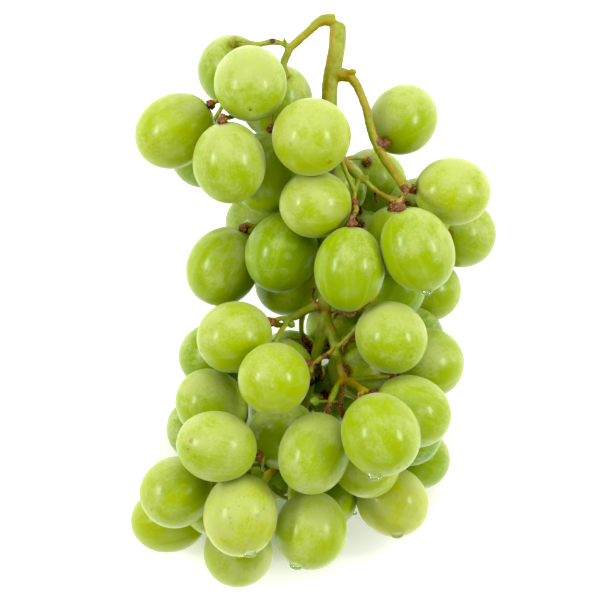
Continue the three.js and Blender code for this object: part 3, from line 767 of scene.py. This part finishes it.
stemLook = {
    # patterns: size in mm, detail, roughness
    "broad": (5.0,),
    "medium": (1.6,),
    "fine": (0.7, 3.0, 0.65),
    "grain": (0.3,),
    "shade": (0.6, 0.4, 0.36, 0.64),         # shares of broad and medium, edges from green to pale
    "dots": (1.5, 0.10, 0.18, 0.5),          # pitch in mm, full and rim as shares, how strong
    "rustRim": (0.9, 0.5, 0.2, 1.1),         # how far medium and fine move it, its edges
    "rustCover": 0.8,
    "corkRim": (0.7, 0.40, 0.70),            # how far fine moves it, its edges
    "sootRim": (0.3, 0.25, 0.65),
    "corkTints": ((0.50, 0.68), (0.50, 0.36)),  # edges of the tan and of the dark grains
    "heights": (0.4, 0.4),                   # of grain and dots
    "bump": (0.5, 0.13),                     # strength, depth in mm
    "rough": (0.46, 0.3),                    # green bark, more on cork
    "flesh": (1.2, 1.2, 0.3),                # how far light travels under the bark, mm
    "seeThrough": 0.3,
    "gloss": 0.35,
    # shape
    "voxel": 0.36,       # mm, size of the new faces
    "rounds": 5,         # of smoothing
    "thicken": 0.10,     # mm, given back after the smoothing
    "warts": (0.9, 0.45, 0.5),  # mm, broad and fine ones, share of the fine
    "plainWart": 0.3,    # share of their height on plain bark
    "wart": 0.13,        # mm, height of the warts
    "collarWart": 0.27,  # mm, more of them near each grape
    "reach": 0.45,       # mm, how far a stalk end grows towards its grape
    "pull": ((1.6, 0.3), (3.6, 2.4)),  # mm from its skin and from its pole, where that begins and is full
    "near": 10.0,        # mm from its pole, beyond it nothing changes
    "cork": (3.3, 1.7),  # mm from the pole, where the brown begins and is full
    "rust": (6.5, 2.8),  # mm from the pole, the same for the orange before it
    "rustMost": 0.8,
    "markRim": (1.25, 0.7),  # share of its radius where a mark begins and is full
    "green": colour(128, 140, 8),
    "pale": colour(154, 164, 50),
    "brown": colour(122, 76, 40),
    "tan": colour(196, 152, 104),
    "orange": colour(168, 134, 20),
    "dark": colour(72, 48, 28),
}

# small outgrowths: thickness in mm at both ends, then the line they follow as column, row and height
stemBits = {
    "curledSpur": (0.8, 0.4, ((346, 77, 45), (350, 72, 46.4), (354.5, 70.5, 46.8), (355.5, 74, 46.4))),
    "backSpur": (0.7, 0.4, ((285, 43, 46), (284, 38, 47.4))),
    "sprayNub": (0.9, 0.7, ((363, 178, 49), (368.5, 177.3, 49.6))),
    "teeBar": (1.0, 1.1, ((390.5, 211, 50), (397, 208.5, 50.6), (404.5, 206, 50))),
    "lateralLoop": (0.8, 0.8, ((285, 325, 44.4), (277.5, 325.3, 45), (274, 322.3, 45.2), (278, 319, 45))),
    "driedStub": (0.9, 0.7, ((316, 367, 39), (322.6, 369.5, 41.5), (320.4, 382, 42))),
    "driedKnot": (0.9, 0.9, ((311.6, 378, 41), (310.2, 381.5, 41.4))),
    "curlOnArch": (0.7, 0.4, ((330, 352, 49.4), (336, 347, 50.4))),
}

# coloured places on the bark: two ends as column and row, radius in mm, then how orange, how corky, how dark
stemMarks = {
    "underKnob": ((327, 24, 329, 34), 2.2, 0.8, 0.0, 0.0),
    "leftOfTrunk": ((330, 30, 325, 102), 2.0, 0.6, 0.0, 0.0),
    "trunkSpeck": ((338, 54, 338, 58), 0.5, 0.9, 0.2, 0.0),
    "cutRim": ((330, 17, 344, 17), 0.9, 0.5, 0.3, 0.0),
    "leftArmEdge": ((324, 21, 296, 46), 1.0, 0.85, 0.0, 0.0),
    "leftArmEnd": ((289, 52, 287, 58), 0.9, 0.5, 0.1, 0.0),
    "backNode": ((272, 41, 273, 41), 0.85, 0.6, 0.8, 0.5),
    "backScar": ((238, 45, 247, 46), 1.5, 0.6, 0.45, 0.0),
    "rightNode": ((342, 77, 350, 75), 2.2, 0.95, 0.1, 0.0),
    "rightUpper": ((353, 82, 367, 110), 1.6, 0.8, 0.0, 0.0),
    "rightLeftEdge": ((372, 124, 392, 170), 0.8, 0.8, 0.1, 0.0),
    "rightSpeck": ((399, 170, 400, 171), 0.8, 1.0, 0.3, 0.0),
    "rightLower": ((394, 174, 404, 186), 1.0, 0.8, 0.2, 0.0),
    "rightEnd": ((405, 189, 410, 193), 1.8, 0.8, 0.7, 0.05),
    "rightStalk": ((408, 196, 405, 208), 1.6, 0.8, 0.75, 0.05),
    "middleStart": ((347, 161, 351, 165), 1.5, 0.9, 0.1, 0.0),
    "middleNode": ((359, 177, 364, 178), 0.8, 0.5, 0.0, 0.0),
    "downEnd": ((356, 202, 353, 212), 1.5, 0.9, 0.2, 0.0),
    "downStar": ((353, 217, 352, 223), 2.1, 0.8, 0.8, 0.05),
    "sprayEnd": ((377, 191, 392, 206), 1.4, 0.9, 0.1, 0.0),
    "sprayTee": ((391, 211, 404, 206), 1.7, 0.6, 0.8, 0.0),
    "farSpeck": ((369, 167, 370, 168), 0.7, 0.5, 0.6, 0.6),
    "farEnd": ((373, 158, 377, 154), 1.4, 0.9, 0.4, 0.0),
    "farScar": ((384, 141, 389, 145), 2.4, 0.5, 1.0, 0.1),
    "rachisSpeck": ((330, 325, 332, 328), 1.3, 0.9, 0.2, 0.0),
    "forkNode": ((341, 379, 347, 382), 1.7, 1.0, 0.2, 0.0),
    "forkArm": ((350, 382, 370, 388), 1.5, 0.95, 0.2, 0.0),
    "forkDisc": ((324, 408, 337, 408), 1.9, 0.5, 0.8, 0.0),
    "forkStalk": ((342, 387, 340, 402), 1.2, 0.6, 0.6, 0.2),
    "forkScar": ((336, 410, 346, 411), 2.2, 0.5, 1.0, 0.2),
    "archSpan": ((311, 368, 331, 352), 1.5, 0.6, 0.0, 0.0),
    "archSpeck": ((324, 355, 327, 357), 1.1, 0.7, 0.8, 0.0),
    "archStub": ((317, 368, 320, 383), 1.6, 0.4, 0.9, 0.6),
    "knotBelow": ((310, 378, 311, 382), 1.2, 0.4, 0.9, 0.6),
    "hookEnd": ((306, 338, 308, 346), 1.4, 0.6, 0.9, 0.2),
}

# places where the bark stays fresh: column, row, radius in mm, how much brown is left
freshBark = {
    "armTip": (288, 70, 2.6, 0.15),
    "backTip": (236, 43, 2.4, 0.45),
    "mainUpper": (322, 336, 3.0, 0.3),
    "mainLower": (312, 372, 2.2, 0.6),
    "lowStalk": (244, 467, 2.4, 0.2),
}

# grapes that never grew: column, row, height and radius in mm, how dark
tinyGrapes = {
    "byLateral": (291, 324, 45.5, 1.15),
    "byFork": (315.5, 401, 44.0, 1.3),
}


# a smooth line through places, with a value carried along
def smoothLine(places, values, steps=8):
    places = [Vector(place) for place in places]
    padded = [places[0] * 2 - places[1]] + places + [places[-1] * 2 - places[-2]]
    line = []
    for index in range(1, len(padded) - 2):
        before, start, end, after = padded[index - 1:index + 3]
        for step in range(steps):
            t = step / steps
            line.append(0.5 * (2 * start + (end - before) * t + (2 * before - 5 * start + 4 * end - after) * t ** 2
                               + (3 * start - before - 3 * end + after) * t ** 3))
    line.append(places[-1])
    spread = np.linspace(0, 1, len(line))
    return line, np.interp(spread, np.linspace(0, 1, len(values)), values)


# twigs and tendrils: a tube along each line, with a rough skin
def twigTree():
    tree, w, given, sockets = newTree("growTwigs", "Lines", Float=("Step", "Rough height", "Rough size"),
                                      Int=("Sides",), Material=("Bark",))
    curve = w.node("GeometryNodeMeshToCurve", {"Mesh": given["Lines"]}).outputs["Curve"]
    curve = w.node("GeometryNodeResampleCurve", {"Curve": curve, "Length": given["Step"]}, mode="LENGTH")
    rim = w.node("GeometryNodeCurvePrimitiveCircle", {"Radius": 1.0, "Resolution": given["Sides"]})
    tube = w.node("GeometryNodeCurveToMesh", {
        "Curve": curve.outputs["Curve"], "Profile Curve": rim.outputs["Curve"],
        "Scale": w.named("thick"), "Fill Caps": True})
    spot = w.node("GeometryNodeInputPosition").outputs[0]
    bumps = w.node("ShaderNodeTexNoise", {"Vector": spot, "Scale": w.maths("DIVIDE", 1.0, given["Rough size"]),
                                          "Detail": 2.0}).outputs["Fac"]
    push = w.node("ShaderNodeVectorMath", {0: w.node("GeometryNodeInputNormal").outputs[0],
                                           "Scale": w.times(w.less(bumps, 0.5), given["Rough height"])},
                  operation="SCALE").outputs[0]
    flow = w.node("GeometryNodeSetPosition", {"Geometry": tube.outputs["Mesh"], "Offset": push})
    finishTree(w, flow.outputs["Geometry"], given["Bark"])
    return tree, sockets


growTwigs, twigSockets = twigTree()


# lines as (places in m, thickness in m) become one mesh of tubes
def tubesAlong(lines, name, values):
    corners, edges, thick = [], [], []
    for line, width in lines:
        first = len(corners)
        corners.extend(tuple(place) for place in line)
        edges.extend((first + i, first + i + 1) for i in range(len(line) - 1))
        thick.extend(float(w) for w in width)
    wire = bpy.data.meshes.new(name + "Lines")
    wire.from_pydata(corners, edges, [])
    noteOn(wire, "thick", thick)
    return bakedMesh(growTwigs, twigSockets, values, name, wire)


def stemMaterial():
    paint, w, shader = newPaint("stemBark")
    spot = w.objectPlace()
    corky, rusty, sooty = (w.attribute(label) for label in ("corky", "rusty", "sooty"))
    broad, medium, fine, grain = (w.noise(spot, *stemLook[name]) for name in ("broad", "medium", "fine", "grain"))
    broadShare, mediumShare, *edges = stemLook["shade"]
    shade = w.plus(w.times(broad, broadShare), w.times(medium, mediumShare))
    base = w.mix(w.ease(shade, *edges), stemLook["green"], stemLook["pale"])

    # pale breathing dots on the green bark
    *sizes, share = stemLook["dots"]
    dots, cell = w.dots(spot, *sizes)
    base = w.mix(w.times(dots, share), base, stemLook["tan"])

    # orange first, then brown cork with tan and dark grains
    mediumSway, fineSway, *edges = stemLook["rustRim"]
    rust = w.ease(w.sway(w.sway(rusty, medium, mediumSway), fine, fineSway), *edges)
    base = w.mix(w.times(rust, stemLook["rustCover"]), base, stemLook["orange"])
    tanEdges, darkEdges = stemLook["corkTints"]
    barkBrown = w.mix(w.ease(fine, *tanEdges), stemLook["brown"], stemLook["tan"])
    barkBrown = w.mix(w.ease(grain, *darkEdges), barkBrown, stemLook["dark"])
    fineSway, *edges = stemLook["corkRim"]
    base = w.mix(w.ease(w.sway(corky, fine, fineSway), *edges), base, barkBrown)
    fineSway, *edges = stemLook["sootRim"]
    base = w.mix(w.ease(w.sway(sooty, fine, fineSway), *edges), base, stemLook["dark"])

    grainHigh, dotsHigh = stemLook["heights"]
    height = w.plus(w.plus(fine, w.times(grain, grainHigh)), w.times(dots, dotsHigh))
    bare, more = stemLook["rough"]
    w.fill(shader, {
        "Base Color": base, "Roughness": w.plus(w.times(corky, more), bare),
        "Normal": w.bump(height, *stemLook["bump"]), "Specular IOR Level": stemLook["gloss"],
        "Subsurface Weight": stemLook["seeThrough"], "Subsurface Radius": stemLook["flesh"],
        "Subsurface Scale": 1 * mm,
    })
    return paint


stemPaint = stemMaterial()


def smoothPoints(points, pairs, rounds, share=0.5):
    count = np.bincount(pairs.ravel(), minlength=len(points)).astype(float)[:, None]
    for step in range(rounds):
        total = np.zeros_like(points)
        np.add.at(total, pairs[:, 0], points[pairs[:, 1]])
        np.add.at(total, pairs[:, 1], points[pairs[:, 0]])
        points = points + (total / count - points) * share
    return points


def ease(value, low, high):
    share = np.clip((value - low) / (high - low), 0, 1)
    return share * share * (3 - 2 * share)


bitLook = {
    "tinyStalk": (0.75, 0.55),   # mm, thickness at both ends
    "tinyArch": 0.4,             # mm
    "tube": {"Step": 0.5 * mm, "Sides": 12, "Rough height": 0.12 * mm, "Rough size": 0.9 * mm},
}


# spurs, knobs and the stalks of the tiny grapes, all rooted in the stem
def outgrowths():
    lines = []
    for start, end, spots in stemBits.values():
        places = [seenAt(*spot) for spot in spots]
        places.insert(0, stemTree.find_nearest(places[0])[0])
        line, width = smoothLine(places, (start, start, end))
        lines.append((line, width * mm))
    for column, row, height, radius in tinyGrapes.values():
        place = seenAt(column, row, height)
        root = stemTree.find_nearest(place)[0]
        middle = root.lerp(place, 0.5) + Vector((0, 0, bitLook["tinyArch"] * mm))
        line, width = smoothLine((root, middle, place), bitLook["tinyStalk"])
        lines.append((line, width * mm))
    return tubesAlong(lines, "stemBits", {**bitLook["tube"], "Bark": stemPaint})


# one where points show at a mark drawn from one picture spot to another, zero away from it
def nearMark(columns, rows, steps, ends, radius):
    start, end = np.array(ends[:2], float), np.array(ends[2:], float)
    span = end - start
    along = np.clip(((columns - start[0]) * span[0] + (rows - start[1]) * span[1]) / (span @ span), 0, 1)
    off = np.hypot(columns - start[0] - along * span[0], rows - start[1] - along * span[1]) * steps
    start, full = stemLook["markRim"]
    return ease(off, radius * start, radius * full)


# the solid and its outgrowths under one even skin
def stemSkin():
    whole = bmesh.new()
    whole.from_mesh(stemSolid)
    whole.from_mesh(outgrowths())
    joined = bpy.data.meshes.new("stemRough")
    whole.to_mesh(joined)
    whole.free()
    rough = placed("stemRough", joined)
    remesh = rough.modifiers.new("remesh", "REMESH")
    remesh.mode = "VOXEL"
    remesh.voxel_size = stemLook["voxel"] * mm
    mesh = plainMesh(rough, "stemBark")
    pairs = np.empty(len(mesh.edges) * 2, np.int64)
    mesh.edges.foreach_get("vertices", pairs)
    writePoints(mesh, smoothPoints(readPoints(mesh), pairs.reshape(-1, 2), stemLook["rounds"]))
    return mesh


# how corky and how rusty each point is, with collars that close on their grapes
def growCollars(points):
    corky, rusty = np.zeros(len(points)), np.zeros(len(points))
    edges = (*stemLook["pull"], stemLook["cork"], stemLook["rust"])
    pullSkin, pullPole, cork, rust = np.array(edges) * mm
    for grape in grapes:
        pole = np.array(grape["centre"] + grape["axis"] * grape["halfLength"])
        near = np.linalg.norm(points - pole, axis=1)
        pick = near < stemLook["near"] * mm
        if not pick.any():
            continue
        clear, away = skinDistance(points[pick], grape)
        pull = ease(clear, *pullSkin) * ease(near[pick], *pullPole)
        points[pick] -= away * (pull * stemLook["reach"] * mm)[:, None]
        corky[pick] = np.maximum(corky[pick], ease(near[pick], *cork))
        rusty[pick] = np.maximum(rusty[pick], stemLook["rustMost"] * ease(near[pick], *rust))
    return corky, rusty


# brings in the marks, then takes the brown off the fresh places
def markBark(points, corky, rusty):
    sooty = np.zeros(len(points))
    columns, rows = pictureOf(points)
    steps = stepAt(points[:, 2] / mm)
    for ends, radius, orange, cork, dark in stemMarks.values():
        share = nearMark(columns, rows, steps, ends, radius)
        rusty, corky, sooty = (np.maximum(values, share * much) for values, much in
                               ((rusty, orange), (corky, cork), (sooty, dark)))
    for column, row, radius, left in freshBark.values():
        keep = 1 - (1 - left) * nearMark(columns, rows, steps, (column, row, column + 0.1, row), radius)
        corky, rusty, sooty = corky * keep, rusty * keep, sooty * keep
    return corky, rusty, sooty


def growStem():
    mesh = stemSkin()
    normals = readPoints(mesh, "normal")
    points = readPoints(mesh) + normals * stemLook["thicken"] * mm
    corky, rusty = growCollars(points)
    corky, rusty, sooty = markBark(points, corky, rusty)
    broad, fine, share = stemLook["warts"]
    warts = np.array([noise.noise(Vector(p) / (broad * mm)) + share * noise.noise(Vector(p) / (fine * mm))
                      for p in points])
    height = stemLook["wart"] * (stemLook["plainWart"] + rusty) + stemLook["collarWart"] * corky
    writePoints(mesh, points + normals * (warts * height * mm)[:, None])
    for label, values in (("corky", corky), ("rusty", rusty), ("sooty", sooty)):
        noteOn(mesh, label, values.astype(np.float32))
    mesh.materials.clear()
    mesh.materials.append(stemPaint)
    mesh.polygons.foreach_set("use_smooth", [True] * len(mesh.polygons))
    mesh.update()
    return addPiece(mesh, "stem")


stemBark = growStem()
barkTree = searchTree([stemBark.data])
print("stem has", len(stemBark.data.polygons), "faces")

# dried flower threads: thickness in mm, colour, then columns and rows along them
driedThreads = {
    "upperThread": (0.42, "brown", ((315, 289), (312.5, 297.6), (317, 305), (320, 314))),
    "shortThread": (0.42, "brown", ((320, 308.7), (324.5, 309.6), (331, 312.4), (337, 310.5))),
    "longThread": (0.48, "darkBrown", ((333.7, 318), (337.3, 314), (343.8, 314), (349.3, 316.4), (355.8, 314),
                                       (360.4, 309.6), (370.5, 302), (377, 296.7))),
    "curl": (0.42, "brown", ((354.8, 336), (348.4, 340), (343.8, 345.5), (343, 351), (344, 355))),
    "blackTwig": (0.50, "darkBrown", ((374.8, 192), (375.7, 196.6), (377.6, 205.8))),
    "driedBit": (0.9, "darkBrown", ((359, 208), (360.5, 211), (360, 214))),
}

threadLook = {
    "brown": colour(128, 78, 40),
    "darkBrown": colour(70, 44, 26),
    "orange": colour(176, 112, 50),
    "patterns": (1.2, 0.4),      # mm, tint and relief
    "tintEdges": (0.42, 0.62),
    "bump": (0.5, 0.08),         # strength, depth in mm
    "rough": 0.6,
    "taper": (0.85, 1.0, 0.45),  # share of the thickness along a thread
    "rise": 0.8,                 # share of the thickness that lies above the skin
    "tube": {"Step": 0.35 * mm, "Sides": 10, "Rough height": 0.16 * mm, "Rough size": 0.7 * mm},
}


def threadMaterial(name):
    paint, w, shader = newPaint(name)
    spot = w.objectPlace()
    tintSize, reliefSize = threadLook["patterns"]
    tint = w.ease(w.noise(spot, tintSize, detail=3.0), *threadLook["tintEdges"])
    w.fill(shader, {"Base Color": w.mix(tint, threadLook[name], threadLook["orange"]),
                    "Normal": w.bump(w.noise(spot, reliefSize), *threadLook["bump"]),
                    "Roughness": threadLook["rough"]})
    return paint


# lays a thread over what is below it, taut between the high places
def laidLine(spots, radius):
    flat, thin = smoothLine([(column, row, 0) for column, row in spots], threadLook["taper"])
    heights, along = [], [0.0]
    for index, spot in enumerate(flat):
        hit = firstBelow(spot.x, spot.y, (skinTree, barkTree))
        heights.append(hit[0].z / mm + radius * threadLook["rise"] if hit else 0)
        if index:
            along.append(along[-1] + (spot - flat[index - 1]).length)
    hull = []
    for point in zip(along, heights):
        while len(hull) > 1:
            (a, b), (c, d) = hull[-2:]
            if (d - b) * (point[0] - a) <= (point[1] - b) * (c - a):
                hull.pop()
            else:
                break
        hull.append(point)
    taut = np.interp(along, *zip(*hull))
    return [seenAt(spot.x, spot.y, height) for spot, height in zip(flat, taut)], thin * radius * mm


for tint in ("brown", "darkBrown"):
    lines = [laidLine(spots, radius) for radius, own, spots in driedThreads.values() if own == tint]
    addPiece(tubesAlong(lines, tint + "Threads", {**threadLook["tube"], "Bark": threadMaterial(tint)}))
print("laid the dried threads")

tinyShape = {
    "longer": 1.08,
    "own": {"Dimple depth": 0.1 * mm, "Dimple radius": 0.5 * mm, "Tip height": 0.12 * mm, "Lump share": 0.05,
            "Lump size": 1.6, "Rings": 18, "Sides": 24, "Tone": -1.0, "Waxed": 0.25},
    "firstSeed": 200,
}

for index, (label, (column, row, height, radius)) in enumerate(tinyGrapes.items()):
    place = seenAt(column, row, height)
    axis = (stemTree.find_nearest(place)[0] - place).normalized()
    size = {"Half length": radius * tinyShape["longer"] * mm, "Radius": radius * mm}
    values = grapeValues(place, axis, Seed=tinyShape["firstSeed"] + index, **size, **tinyShape["own"])
    addPiece(bakedMesh(growGrape, grapeSockets, values, "tinyGrape_" + label))
print("added", len(tinyGrapes), "tiny grapes")

# water drops: column, row and radius in mm
restingDrops = {
    "onShoulder": (257, 452, 0.6),
    "onRim": (279, 452, 0.5),
    "onWaxedGrape": (258, 515, 0.8),
    "besideIt": (264, 509, 0.5),
    "onLowGrape": (301, 515, 0.5),
    "onSideGrape": (427, 447, 0.5),
    "onLeftGrape": (163, 491, 0.6),
}

# drops that hang from the lower rim of a grape
hangingDrops = {
    "underRightGrape": (427, 293, 1.5),
    "underLowRight": (397, 534, 2.2),
    "underMiddle": (375, 477, 2.2),
    "underLast": (297, 565, 2.3),
    "underWaxedGrape": (249, 553, 2.2),
    "atLowNotch": (354, 513, 1.0),
}

dropLook = {
    "sprayCentre": (243, 508),     # column and row
    "spraySpread": (11.0, 13.0),
    "sprayCount": 26,
    "spraySize": (0.16, 0.42),     # mm
    "sides": 20,
    "rings": 12,
    "flatness": 0.55,
    "hangs": (0.0, 0.9, 0.45),
    "ledge": 4.0,                  # mm, how far a rim stands above the next skin below
    "search": (0.5, 9, 0.5),       # rows above a drop where its rim may be, and their step
    "hangLow": 0.5,                # share of the way from the rim to the place given
    "seed": 5,
    "tints": ((0.84, 0.95, 0.55, 1), (0.92, 1, 0.72, 1)),
    "tintSize": 3.0,               # mm
    "rough": 0.03,
    "ior": 1.33,
    "clear": 0.86,
}


def dropMaterial():
    paint, w, shader = newPaint("waterDrop")
    tint = w.mix(w.noise(w.objectPlace(), dropLook["tintSize"]), *dropLook["tints"])
    w.fill(shader, {"Base Color": tint, "Roughness": dropLook["rough"], "IOR": dropLook["ior"],
                    "Transmission Weight": dropLook["clear"]})
    return paint


def dropTree():
    tree, w, given, sockets = newTree("placeDrops", "Spots", Float=("Flatness",), Int=("Sides", "Rings"),
                                      Material=("Water",))
    ball = w.node("GeometryNodeMeshUVSphere", {"Radius": 1.0, "Segments": given["Sides"], "Rings": given["Rings"]})
    spots = w.node("GeometryNodeMeshToPoints", {"Mesh": given["Spots"]}).outputs["Points"]
    wide = w.named("wide")
    turn = w.node("FunctionNodeAlignRotationToVector", {"Vector": w.named("way", "FLOAT_VECTOR")}, axis="Z")
    put = w.node("GeometryNodeInstanceOnPoints", {
        "Points": spots, "Instance": ball.outputs["Mesh"], "Rotation": turn.outputs["Rotation"],
        "Scale": w.combine(wide, wide, w.times(wide, given["Flatness"]))})
    finishTree(w, put.outputs["Instances"], given["Water"])
    return tree, sockets


# the lower rim of a grape just above a column and a row
def rimAbove(column, row):
    before, first = firstBelow(column, row, (skinTree,)), None
    for rise in np.arange(*dropLook["search"]):
        hit = firstBelow(column, row - rise, (skinTree,))
        if hit and (before is None or hit[0].z - before[0].z > dropLook["ledge"] * mm):
            return hit
        before, first = hit, first or hit
    return first


def placeDrops():
    drops = np.random.default_rng(dropLook["seed"])
    spots = list(restingDrops.values())
    for index in range(dropLook["sprayCount"]):
        across, down = drops.normal(0, 1, 2)
        spots.append((dropLook["sprayCentre"][0] + across * dropLook["spraySpread"][0],
                      dropLook["sprayCentre"][1] + down * dropLook["spraySpread"][1],
                      drops.uniform(*dropLook["spraySize"])))
    places, ways, widths = [], [], []
    for column, row, radius in spots:
        hit = firstBelow(column, row, (skinTree, barkTree))
        if hit:
            places.append(tuple(hit[0]))
            ways.extend(tuple(hit[1]))
            widths.append(radius * mm)
    for column, row, radius in hangingDrops.values():
        hit = rimAbove(column, row)
        if hit:
            place = seenAt(column, row, hit[0].z / mm)
            places.append(tuple(hit[0].lerp(place, dropLook["hangLow"])))
            ways.extend(dropLook["hangs"])
            widths.append(radius * mm)
    wire = bpy.data.meshes.new("dropSpots")
    wire.from_pydata(places, [], [])
    noteOn(wire, "way", ways, "FLOAT_VECTOR", "vector")
    noteOn(wire, "wide", widths)
    tree, sockets = dropTree()
    values = {"Flatness": dropLook["flatness"], "Sides": dropLook["sides"], "Rings": dropLook["rings"],
              "Water": dropMaterial()}
    return bakedMesh(tree, sockets, values, "waterDrops", wire)


addPiece(placeDrops())
print("placed the water drops")

# spots and scars on single grapes: column, row, radius in mm, strength, colour
skinMarks = {
    "dotOnHighGrape": (250, 110, 0.42, 0.8, "scar"),
    "rustOnCentreGrape": (330, 162, 0.9, 0.6, "russet"),
    "ringOnMiddleGrape": (272, 386, 0.7, 0.6, "bloom"),
    "ringOnDarkGrape": (288, 256, 1.2, 0.3, "bloom"),
    "strokeOnLeftGrape": (191, 441, 0.8, 0.5, "russet"),
    "dotOnLeftGrape": (188, 449, 0.35, 0.6, "scar"),
    "dotOnFarGrape": (474, 178, 0.35, 0.4, "scar"),
}


markRim = {
    "edges": (1.2, 0.6),      # share of the radius where a mark begins and is full
    "unevenMm": (0.6, 0.8),   # size of the pattern and how far it moves the rim
}


# paints the marks where they meet the skin, with uneven rims
def markSkin(paint):
    w = Wiring(paint.node_tree)
    shader = paint.node_tree.nodes["Principled BSDF"]
    base = shader.inputs["Base Color"].links[0].from_socket
    spot = w.objectPlace()
    patternMm, unevenMm = markRim["unevenMm"]
    uneven = w.times(w.less(w.noise(spot, patternMm), 0.5), unevenMm * mm)
    start, full = markRim["edges"]
    for column, row, radius, strength, tint in skinMarks.values():
        hit = firstBelow(column, row, (skinTree,))
        if not hit:
            continue
        off = w.plus(w.vector("DISTANCE", spot, hit[0], "Value"), uneven)
        share = w.ease(off, radius * start * mm, radius * full * mm)
        base = w.mix(w.times(share, strength), base, skinLook[tint])
    w.fill(shader, {"Base Color": base})


markSkin(skinPaint)
